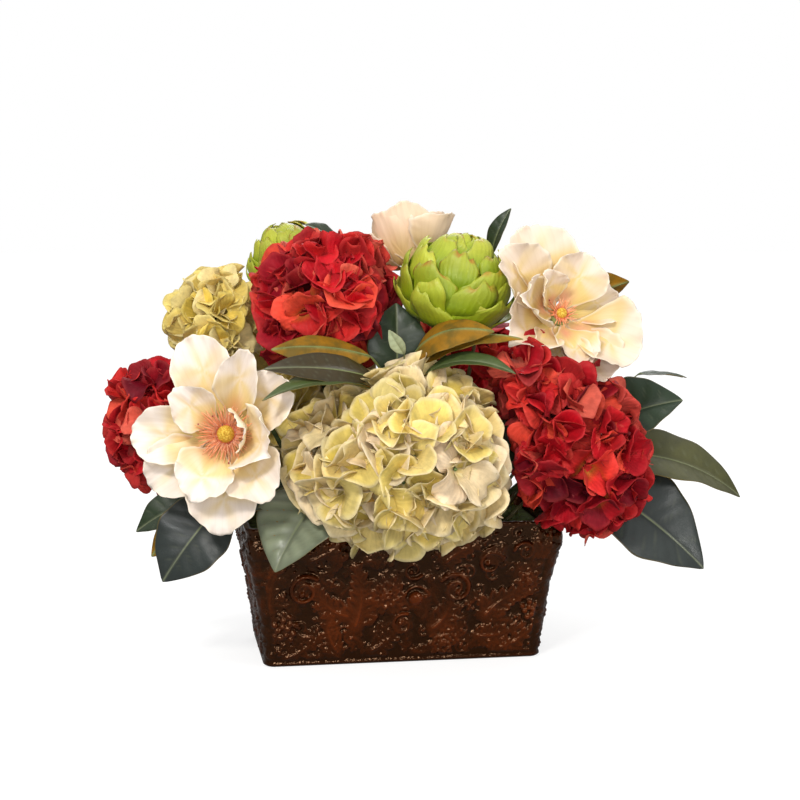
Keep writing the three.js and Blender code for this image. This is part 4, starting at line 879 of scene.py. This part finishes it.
def fill_ground(relief, seed, count):
    """Small curls, buds and leaflets that fill the ground between the main forms."""
    random = np.random.default_rng(seed)
    half = relief.x[0, -1]
    for _ in range(count):
        x, z = random.uniform(-half, half), random.uniform(8, PLANTER_HEIGHT - 6)
        kind = random.random()
        if kind < 0.45:
            relief.scroll(x, z, random.uniform(0, 6.3), random.uniform(0.7, 1.2), random.uniform(4, 8), 1.8,
                          2.8, random.uniform(0.9, 1.5), random.choice((-1, 1)))
        elif kind < 0.8:
            relief.plume(x, z, random.uniform(0, 6.3), random.uniform(14, 24), random.uniform(-1.8, 1.8), 3,
                         random.uniform(7, 12), random.uniform(0.8, 1.5))
        else:
            relief.berries(x, z, random.uniform(3.5, 6), 6, random.uniform(0.9, 1.5))


def dress_long(relief):
    """The long faces: a flower in the middle, scrolls and plumes to the sides, berries and blooms between."""
    fill_ground(relief, 41, 300)
    relief.rosette(-18, 62, 19, 11, 1.9)
    relief.berries(-16, 97, 9, 15, 1.8)
    relief.ball(9, 58, 6.5, 2.6)
    relief.scroll(9, 58, 0.2, 1.0, 12, 8.5, 3.2, 1.6)
    relief.scroll(6, 84, -0.6, 1.3, 9, 2.5, 3.4, 2.0, -1)
    relief.plume(-44, 34, 1.2, 58, 0.75, 6, 20, 2.0)
    relief.plume(-50, 44, 2.9, 44, -1.1, 5, 17, 1.9)
    relief.plume(-60, 14, 2.2, 34, -0.9, 4, 15, 1.8)
    relief.scroll(-88, 68, 0.8, 1.5, 15, 3.5, 4.6, 2.2)
    relief.scroll(-112, 92, 2.4, 1.3, 11, 3, 3.6, 2.0, -1)
    relief.berries(-104, 34, 12, 13, 2.2)
    relief.plume(-118, 52, 1.6, 40, -0.5, 4, 13, 1.7)
    relief.plume(-84, 96, 0.2, 36, 0.8, 4, 13, 1.7)
    relief.plume(-30, 12, 0.4, 40, 0.7, 5, 14, 1.8)
    relief.rosette(33, 16, 13, 8, 1.8)
    relief.plume(24, 30, 0.6, 46, 1.2, 5, 17, 2.0)
    relief.scroll(44, 66, 2.6, 1.6, 15, 3.5, 4.6, 2.2, -1)
    relief.scroll(74, 88, 0.4, 1.4, 12, 3, 3.8, 2.0)
    relief.plume(34, 90, 0.9, 34, -0.9, 4, 13, 1.7)
    relief.plume(70, 40, 0.9, 48, -0.8, 6, 18, 2.0)
    relief.plume(64, 22, -0.1, 44, 0.6, 5, 14, 1.8)
    relief.rosette(108, 70, 13, 8, 1.9)
    relief.berries(112, 44, 9, 10, 2.0)
    relief.scroll(104, 98, 3.0, 1.3, 10, 2.6, 3.4, 1.9, -1)
    relief.plume(84, 10, 0.3, 38, 0.5, 4, 12, 1.7)
    relief.scroll(-2, 34, 1.2, 1.2, 11, 3, 3.6, 2.0)
    relief.plume(-104, 8, 0.3, 36, 0.4, 4, 12, 1.6)


def dress_short(relief):
    """The short faces: a flower between two plumes and two scrolls."""
    fill_ground(relief, 42, 170)
    relief.rosette(0, 64, 17, 10, 1.9)
    for side in (-1, 1):
        turn = 0 if side > 0 else math.pi
        relief.scroll(side * 34, 72, turn + 2.6 * side, 1.5, 14, 3.2, 4.4, 2.1, -side)
        relief.plume(side * 10, 36, turn + side * 0.5, 44, side * 0.8, 5, 16, 1.9)
        relief.plume(side * 8, 92, turn + side * 0.3, 40, side * 0.5, 5, 13, 1.7)
        relief.plume(side * 26, 12, turn + side * 0.4, 34, side * 0.6, 4, 13, 1.7)
        relief.berries(side * 54, 40, 8, 9, 1.9)
        relief.scroll(side * 56, 100, turn + 3.0 * side, 1.2, 9, 2.6, 3.2, 1.8, -side)
    relief.scroll(0, 22, -1.57, 1.1, 9, 3, 3.4, 1.8)
    relief.berries(0, 102, 7, 9, 1.7)


def dress_corner(relief):
    """The rounded corners: low leaflets and curls that lap round the edge."""
    fill_ground(relief, 43, 30)
    relief.h *= 0.75


def sampled(relief, x, z):
    """The relief's height at places on its face."""
    step = relief.x[0, 1] - relief.x[0, 0]
    col = np.clip((x - relief.x[0, 0]) / step, 0, relief.h.shape[1] - 1.001)
    row = np.clip(z / step, 0, relief.h.shape[0] - 1.001)
    c, r = col.astype(int), row.astype(int)
    fc, fr = col - c, row - r
    h = relief.h
    low = h[r, c] * (1 - fc) + h[r, c + 1] * fc
    high = h[r + 1, c] * (1 - fc) + h[r + 1, c + 1] * fc
    return low * (1 - fr) + high * fr


def planter_ring(z, inset, steps):
    """Points round the planter at a height, the way out at each, and its strip and how far along it lies.
    Strips 0 to 3 are the flat faces, and 4 to 7 the corners before them. steps has the number of points on a
    long and on a short face."""
    radius = max(CORNER - inset, 3)
    inner = np.array(planter_half(z)) - inset - radius
    corners = np.array([(1, 1), (-1, 1), (-1, -1), (1, -1)])
    points, outs, places = [], [], []
    for quarter, corner in enumerate(corners):
        for k in range(CORNER_STEPS):
            share = k / CORNER_STEPS
            angle = (quarter + share) * math.pi / 2
            out = np.array([math.cos(angle), math.sin(angle)])
            points.append((*(corner * inner + radius * out), z))
            outs.append(out)
            places.append((quarter + 4, (share - 0.5) * math.pi / 2 * CORNER))
        # The flat face that follows this corner.
        straight = (quarter + 1) * math.pi / 2
        out = np.round([math.cos(straight), math.sin(straight)])
        a, b = (end * inner + radius * out for end in (corner, corners[(quarter + 1) % 4]))
        count = steps[quarter % 2]
        for share in np.arange(count) / count:
            points.append((*(a + (b - a) * share), z))
            outs.append(out)
            places.append((quarter, (share - 0.5) * np.linalg.norm(b - a)))
    return np.array(points), np.array(outs), np.array(places)


def make_planter(material):
    long_face, short_face, corner = (Relief(half, RELIEF_STEP) for half in (*RIM_HALF, 9))
    dress_long(long_face)
    dress_short(short_face)
    dress_corner(corner)
    steps = [int(2 * half / RING_STEP) for half in RIM_HALF]
    levels = np.concatenate([[0, 0.8, 2, 3.2], np.arange(4.5, PLANTER_HEIGHT - 4, 1.1),
                             [PLANTER_HEIGHT - 3.2, PLANTER_HEIGHT - 1.8, PLANTER_HEIGHT - 0.7]])
    rings, heights = [], []
    for z in levels:
        inset = 1.5 * max(0, 1 - z / 1.6) ** 2
        points, outs, places = planter_ring(z, inset, steps)
        height = np.zeros(len(points))
        for strip, face in enumerate([long_face, short_face] * 2 + [corner] * 4):
            here = places[:, 0] == strip
            height[here] = sampled(face, places[here, 1], np.full(here.sum(), z))
        # A foot moulding and the rim's lip stay clear of the relief.
        keep = smooth(z, 4.5, 7.5) * (1 - smooth(z, PLANTER_HEIGHT - 5.5, PLANTER_HEIGHT - 3))
        foot, rim = math.exp(-((z - 2.4) / 1.5) ** 2), smooth(z, PLANTER_HEIGHT - 5, PLANTER_HEIGHT - 3)
        moulding = 1.1 * foot + 1.1 * rim
        rise = RELIEF_DEPTH * height * keep + moulding - RELIEF_SINK
        points[:, :2] += outs * rise[:, None]
        rings.append(points)
        heights.append(rise)
    lip = [(PLANTER_HEIGHT, 0.3), (PLANTER_HEIGHT, WALL - 0.8), (PLANTER_HEIGHT - 1.2, WALL)]
    inner = [(z, WALL) for z in (PLANTER_HEIGHT - RIM_BAND, 56, 28, FLOOR)]
    for z, inset in lip + inner:
        points, _, _ = planter_ring(z, inset, steps)
        rings.append(points)
        heights.append(np.full(len(points), 1.0))
    whole = np.vstack([*rings, [[0, 0, 0], [0, 0, FLOOR]]])
    rise = np.concatenate([*heights, [0, 0]])
    # The relief's height, which the glaze turns into darker hollows and lighter tops: partly the glaze's
    # pooling, partly painted shade and light.
    glaze_thinness_and_painted_light = np.clip((rise + RELIEF_SINK) / (2.4 * RELIEF_DEPTH), 0, 1)
    mark = np.stack([glaze_thinness_and_painted_light, whole[:, 2] / PLANTER_HEIGHT, 0 * rise, 0 * rise], -1)
    skin = Skin()
    skin.barrel(whole, len(rings), (0.1, 0.03, 0.01), mark)
    return place(skin.build("planter_glazed", material), "planter")


# ---------------------------------------------------------------- foam and moss


def make_moss(material):
    """A mounded mat of moss that fills the planter's mouth over the foam block."""
    random = np.random.default_rng(5)
    skin = Skin()
    levels = (FLOOR + 0.5, 56, PLANTER_HEIGHT - RIM_BAND, FOAM_TOP - 1)
    rings = [planter_ring(z, WALL + MOSS_GAP, (60, 34))[0] for z in levels]
    edge = rings[-1]
    phases = random.uniform(0, 6.3, 12)
    for share in np.linspace(0.97, 0.06, 26):
        ring = edge * (share, share, 1)
        x, y = ring[:, 0], ring[:, 1]
        lump = np.sin(0.21 * x + phases[0]) * np.sin(0.24 * y + phases[1])
        lump = lump + 0.7 * np.sin(0.5 * x + 0.3 * y + phases[2])
        lump = lump + 0.5 * np.sin(0.9 * y - 0.6 * x + phases[3])
        lump = lump + 0.35 * np.sin(1.7 * x + phases[4]) * np.sin(1.5 * y)
        ring[:, 2] = FOAM_TOP + 0.5 + 3.0 * (1 - share ** 3) + 1.6 * lump * (1 - share ** 8)
        rings.append(ring)
    whole = np.vstack([*rings, [[0, 0, FLOOR + 0.5], [0, 0, FOAM_TOP + 3.5]]])
    skin.barrel(whole, len(rings), linear("#4a5526"), (0.5, 0.5, 0, 0))
    # Tufts: short curved threads all over the mat.
    for _ in range(TUFTS):
        x, y = random.uniform(-0.93, 0.93, 2) * (RIM_HALF[0] - 10, RIM_HALF[1] - 9)
        foot = np.array([x, y, FOAM_TOP + 1.5])
        lean = random.normal(0, 3, 2)
        tip = foot + (*lean, random.uniform(3, 8))
        tint = mix(linear("#5b6a2a"), linear("#8a8a3c"), random.random())
        skin.tube([foot, 0.5 * (foot + tip) + (*(0.2 * lean), 0.8), tip], [0.6, 0.5, 0.2], 4, tint)
    return place(skin.build("moss_and_foam", material), "floral_foam")


# ---------------------------------------------------------------- materials


class Look:
    """A material, with short ways to add and join its nodes."""

    def __init__(self, name, **settings):
        self.material = bpy.data.materials.new(name)
        self.material.use_nodes = True
        self.tree = self.material.node_tree
        self.shader = self.tree.nodes["Principled BSDF"]
        for key, value in settings.items():
            self.shader.inputs[key.replace("_", " ")].default_value = value

    def node(self, kind, inputs=(), **settings):
        made = self.tree.nodes.new(kind)
        for key, value in settings.items():
            setattr(made, key, value)
        for key, value in dict(inputs).items():
            self.feed(made.inputs[key], value)
        return made

    def feed(self, socket, value):
        if isinstance(value, bpy.types.NodeSocket):
            self.tree.links.new(value, socket)
        else:
            socket.default_value = value

    def math(self, operation, *values):
        return self.node("ShaderNodeMath", enumerate(values), operation=operation).outputs[0]

    def tint(self):
        return self.node("ShaderNodeAttribute", attribute_name="tint").outputs["Color"]

    def marks(self):
        """How far across and along its sheet a point lies, how near the rim, and 1 on the back."""
        mark = self.node("ShaderNodeAttribute", attribute_name="mark").outputs
        return (*self.node("ShaderNodeSeparateColor", {"Color": mark["Color"]}).outputs, mark["Alpha"])

    def place(self):
        return self.node("ShaderNodeTexCoord").outputs["Object"]

    def mix(self, share, a, b, blend="MIX"):
        made = self.node("ShaderNodeMix", data_type="RGBA", blend_type=blend)
        for socket, value in ((made.inputs[0], share), (made.inputs[6], a), (made.inputs[7], b)):
            self.feed(socket, value)
        return made.outputs[2]

    def shaded(self, share, colour, factors):
        """The colour, mixed by that share with itself times the factors."""
        return self.mix(share, colour, self.mix(1.0, colour, (*factors, 1), "MULTIPLY"))

    def span(self, value, low, high, out_low=0.0, out_high=1.0):
        made = self.node("ShaderNodeMapRange", enumerate((value, low, high, out_low, out_high)),
                         interpolation_type="SMOOTHSTEP")
        return made.outputs[0]

    def noise(self, scale, detail=3.0):
        """Noise over the object's own metres."""
        made = self.node("ShaderNodeTexNoise", {"Vector": self.place(), "Scale": scale, "Detail": detail,
                                                "Roughness": 0.55})
        return made.outputs[0]

    def bump(self, height, strength, distance):
        inputs = {"Height": height, "Strength": strength, "Distance": distance}
        return self.node("ShaderNodeBump", inputs).outputs[0]

    def finish(self, colour, roughness, normal):
        self.feed(self.shader.inputs["Base Color"], colour)
        self.feed(self.shader.inputs["Roughness"], roughness)
        self.feed(self.shader.inputs["Normal"], normal)
        return self.material


def grey(value):
    return (value, value, value, 1)


def petal_cloth(name, rim_colour, rim_share, mottle):
    """Silk petals: the painted tint, a faded rim, fine ribs that fan from the root, and the cloth's weave."""
    look = Look(name, Specular_IOR_Level=0.16)
    tint = look.tint()
    across, along, rim, _ = look.marks()
    fan = look.math("DIVIDE", across, look.math("ADD", along, 0.25))
    ribs = look.math("SINE", look.math("MULTIPLY", fan, 26.0))
    cloud = look.noise(110.0, 4.0)
    fine = look.noise(1400.0, 2.0)
    colour = look.shaded(look.span(cloud, 0.35, 0.72, 0.0, mottle), tint, (0.55, 0.5, 0.5))
    colour = look.shaded(look.span(cloud, 0.62, 0.35, 0.0, mottle * 0.7), colour, (1.3, 1.25, 1.2))
    edge = look.math("MULTIPLY", look.span(rim, 0.78, 1.0), rim_share)
    colour = look.mix(edge, colour, rgba(rim_colour))
    rib_share = look.span(ribs, 0.75, 1.0, 0.0, 0.16)
    colour = look.shaded(rib_share, colour, (0.7, 0.66, 0.6))
    normal = look.bump(look.math("ADD", ribs, look.math("MULTIPLY", fine, 1.2)), 0.35, 0.00025)
    return look.finish(colour, look.span(cloud, 0.3, 0.7, 0.54, 0.74), normal)


def magnolia_cloth(name):
    """Smooth coated petals with long faint veins."""
    look = Look(name, Specular_IOR_Level=0.2)
    tint = look.tint()
    across, along, rim, _ = look.marks()
    fan = look.math("DIVIDE", across, look.math("ADD", along, 0.3))
    wander = look.math("MULTIPLY", look.noise(60.0, 2.0), 3.0)
    ribs = look.math("SINE", look.math("ADD", look.math("MULTIPLY", fan, 34.0), wander))
    cloud = look.noise(45.0, 4.0)
    colour = look.mix(look.span(cloud, 0.4, 0.75, 0.0, 0.18), tint, rgba("#dcc29a"))
    colour = look.mix(look.math("MULTIPLY", look.span(rim, 0.88, 1.0), 0.55), colour, rgba("#f0e4d2"))
    colour = look.shaded(look.span(ribs, 0.6, 1.0, 0.0, 0.10), colour, (0.8, 0.72, 0.6))
    fine = look.math("MULTIPLY", look.noise(900.0, 2.0), 0.8)
    normal = look.bump(look.math("ADD", ribs, fine), 0.25, 0.0002)
    return look.finish(colour, look.span(cloud, 0.3, 0.7, 0.46, 0.6), normal)


def thread_look():
    look = Look("stamen_threads", Sheen_Weight=0.3, Sheen_Roughness=0.5)
    tint = look.tint()
    colour = look.shaded(look.span(look.noise(500.0), 0.35, 0.7, 0.0, 0.5), tint, (0.88, 0.68, 0.56))
    return look.finish(colour, 0.65, look.bump(look.noise(2500.0), 0.3, 0.0002))


def carpel_look():
    look = Look("cone_carpels", Specular_IOR_Level=0.3)
    tint = look.tint()
    cells = look.node("ShaderNodeTexVoronoi", {"Vector": look.place(), "Scale": 620.0}).outputs["Distance"]
    colour = look.mix(look.span(cells, 0.2, 0.7), tint, rgba("#c89c30"))
    return look.finish(colour, 0.7, look.bump(cells, -0.9, 0.0009))


def bract_look():
    look = Look("artichoke_bracts", Specular_IOR_Level=0.4, Coat_Weight=0.08, Coat_Roughness=0.4)
    tint = look.tint()
    across, *_ = look.marks()
    grain = look.math("SINE", look.math("ADD", look.math("MULTIPLY", across, 30.0),
                                        look.math("MULTIPLY", look.noise(130.0), 6.0)))
    cloud = look.noise(90.0, 4.0)
    colour = look.shaded(look.span(cloud, 0.38, 0.7, 0.0, 0.5), tint, (0.72, 0.74, 0.55))
    colour = look.mix(look.span(look.noise(240.0, 5.0), 0.62, 0.75, 0.0, 0.4), colour, rgba("#b9c25a"))
    colour = look.mix(look.span(grain, 0.7, 1.0, 0.0, 0.12), colour, rgba("#6f8420"))
    height = look.math("ADD", look.math("MULTIPLY", grain, 0.5), look.noise(420.0, 4.0))
    return look.finish(colour, look.span(cloud, 0.3, 0.7, 0.42, 0.58), look.bump(height, 0.4, 0.0005))


def leaf_look():
    """Waxy above and felted below: the mark's alpha is 1 on the back."""
    look = Look("magnolia_leaf", Specular_IOR_Level=0.36)
    tint = look.tint()
    _, _, rim, back = look.marks()
    cloud = look.noise(55.0, 4.0)
    speck = look.noise(700.0, 3.0)
    colour = look.shaded(look.span(cloud, 0.36, 0.7, 0.0, 0.5), tint, (0.62, 0.66, 0.62))
    colour = look.shaded(look.span(speck, 0.55, 0.75, 0.0, 0.16), colour, (1.5, 1.4, 1.2))
    edge = look.math("MULTIPLY", look.span(rim, 0.955, 1.0), 0.5)
    colour = look.mix(edge, colour, rgba("#7c6a34"))
    stain = look.math("MULTIPLY", back, look.span(look.noise(75.0, 5.0), 0.42, 0.68, 0.0, 0.75))
    colour = look.mix(stain, colour, rgba("#54480c"))
    roughness = look.math("ADD", look.span(cloud, 0.3, 0.7, 0.32, 0.46), look.math("MULTIPLY", back, 0.35))
    height = look.math("ADD", look.math("MULTIPLY", speck, 0.6), look.noise(160.0, 3.0))
    return look.finish(colour, roughness, look.bump(height, 0.3, 0.0005))


def glaze_look():
    """Dark glaze, glossy throughout: nearly black in the relief's hollows and rusty on its raised tops,
    partly where the glaze pools and thins, partly painted shade in the hollows and painted light on the tops.
    """
    look = Look("brown_glaze", Specular_IOR_Level=0.5, Specular_Tint=(1, 0.56, 0.32, 1))
    rise, *_ = look.marks()
    cloud = look.noise(26.0, 5.0)
    # Lighter on the relief's tops and darker in its hollows: partly the glaze thinning and pooling, partly
    # painted light and painted shade.
    thin_glaze_and_painted_light = look.math("MULTIPLY", look.span(rise, 0.0, 0.8), look.span(cloud, 0.34, 0.66, 0.25, 1.0))
    colour = look.mix(thin_glaze_and_painted_light, rgba("#1a0801"), rgba("#5e2508"))
    colour = look.mix(look.span(look.noise(300.0, 4.0), 0.55, 0.8, 0.0, 0.4), colour, rgba("#2f1205"))
    roughness = look.span(cloud, 0.3, 0.7, 0.06, 0.13)
    return look.finish(colour, roughness, look.bump(look.noise(190.0, 2.0), 0.6, 0.002))


def moss_look():
    look = Look("moss_mat", Specular_IOR_Level=0.2)
    tint = look.tint()
    colour = look.mix(look.span(look.noise(140.0, 5.0), 0.35, 0.7), tint, rgba("#2e3012"))
    return look.finish(colour, 0.95, look.bump(look.noise(900.0, 5.0), 1.0, 0.002))


def stem_look():
    """Florist's tape round a wire: darker and lighter turns along the stem."""
    look = Look("taped_stem", Specular_IOR_Level=0.3)
    wave = {"Vector": look.place(), "Scale": 45.0, "Distortion": 3.0, "Detail": 2.0}
    turns = look.node("ShaderNodeTexWave", wave, bands_direction="Z").outputs[1]
    colour = look.mix(look.span(turns, 0.2, 0.8), rgba("#2c3618"), rgba("#3a4622"))
    colour = look.mix(look.span(look.noise(260.0), 0.5, 0.75, 0.0, 0.4), colour, rgba("#4a4424"))
    return look.finish(colour, 0.72, look.bump(turns, 0.5, 0.0006))


# ---------------------------------------------------------------- stage, lights and camera


def add_light(name, location, target, size, power, colour=(1, 1, 1)):
    """A soft light of that width and height, turned to the target."""
    data = bpy.data.lights.new(name, "AREA")
    data.shape, data.energy, data.color = "ELLIPSE", power, colour
    data.size, data.size_y = size
    lamp = add_object(name, data)
    lamp.location = location
    lamp.rotation_euler = (Vector(target) - Vector(location)).to_track_quat("-Z", "Y").to_euler()


def light_sky(tree):
    """White behind the object. As light it is bright overhead and dim near the horizon, like a lit room."""
    nodes, links = tree.nodes, tree.links
    height = nodes.new("ShaderNodeSeparateXYZ")
    links.new(nodes.new("ShaderNodeTexCoord").outputs["Generated"], height.inputs[0])
    span = nodes.new("ShaderNodeMapRange")
    span.interpolation_type = "SMOOTHSTEP"
    for socket, value in zip(span.inputs[1:5], (0.05, 0.8, 0.16, 1.0)):
        socket.default_value = value
    links.new(height.outputs[2], span.inputs[0])
    plain = nodes.new("ShaderNodeMix")
    plain.inputs[3].default_value = 1.0
    links.new(nodes.new("ShaderNodeLightPath").outputs["Is Camera Ray"], plain.inputs[0])
    links.new(span.outputs[0], plain.inputs[2])
    links.new(plain.outputs[0], nodes["Background"].inputs["Strength"])
    nodes["Background"].inputs["Color"].default_value = (1, 1, 1, 1)


def make_stage():
    mesh = bpy.data.meshes.new("floor")
    sides, radius = 96, 9.0
    angles = np.arange(sides) * 2 * math.pi / sides
    rim = [(radius * math.cos(a), radius * math.sin(a), -0.0002) for a in angles]
    mesh.from_pydata(rim, [], [list(range(sides))])
    look = Look("floor_white", Specular_IOR_Level=0.0, Emission_Color=(1, 1, 1, 1))
    seen = look.node("ShaderNodeLightPath").outputs["Is Camera Ray"]
    look.feed(look.shader.inputs["Emission Strength"], look.math("MULTIPLY", seen, 0.75))
    tone = look.mix(look.noise(3.0), grey(0.3), grey(0.34))
    mesh.materials.append(look.finish(tone, 0.8, look.bump(look.noise(400.0), 0.02, 0.0002)))
    add_object("floor", mesh)
    world = bpy.data.worlds.new("studio")
    world.use_nodes = True
    light_sky(world.node_tree)
    bpy.context.scene.world = world
    aim = (0, 0, 0.22)
    add_light("key", (-0.9, -1.6, 1.5), aim, (0.4, 0.4), 27, (1, 0.97, 0.93))
    add_light("fill", (1.5, -1.4, 0.8), aim, (0.4, 0.4), 11, (1, 0.99, 0.97))
    add_light("strip", (-0.3, -2.0, 0.45), aim, (1.2, 0.2), 13)
    add_light("rim", (0.4, 1.8, 1.6), aim, (1.2, 1.2), 15)
    bpy.context.scene.view_settings.view_transform = "Standard"


def make_camera():
    """The photograph's view."""
    azimuth, elevation = math.radians(CAMERA_AZIMUTH), math.radians(CAMERA_ELEVATION)
    level = math.cos(elevation)
    away = Vector((math.sin(azimuth) * level, -math.cos(azimuth) * level, math.sin(elevation)))
    data = bpy.data.cameras.new("camera")
    data.lens, data.sensor_width = CAMERA_LENS, 36
    camera = add_object("camera", data)
    camera.location = Vector(CAMERA_TARGET) * MM + away * (CAMERA_DISTANCE * MM)
    camera.rotation_euler = (-away).to_track_quat("-Z", "Y").to_euler()
    bpy.context.scene.camera = camera


# ---------------------------------------------------------------- the whole

make_camera()
make_stage()

CLOTHS = {
    "cream": petal_cloth("cream_silk", "#efe3cc", 0.28, 0.4),
    "olive": petal_cloth("olive_silk", "#dccf86", 0.25, 0.45),
    "crimson": petal_cloth("crimson_silk", "#c8483f", 0.16, 0.5),
}
for head in HEADS:
    make_head(head, CLOTHS[head["colour"]])

coated, threads, carpels = magnolia_cloth("magnolia_petals"), thread_look(), carpel_look()
for bloom in BLOOMS:
    make_bloom(bloom, coated, threads, carpels)

bracts = bract_look()
for globe in GLOBES:
    make_globe(globe, bracts)

leaf = leaf_look()
for name, sprig in SPRIGS.items():
    make_sprig(name, sprig, leaf)

make_planter(glaze_look())
make_moss(moss_look())

stem = stem_look()
for name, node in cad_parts.items():
    if name.endswith("_stem"):
        node.data.materials.clear()
        node.data.materials.append(stem)
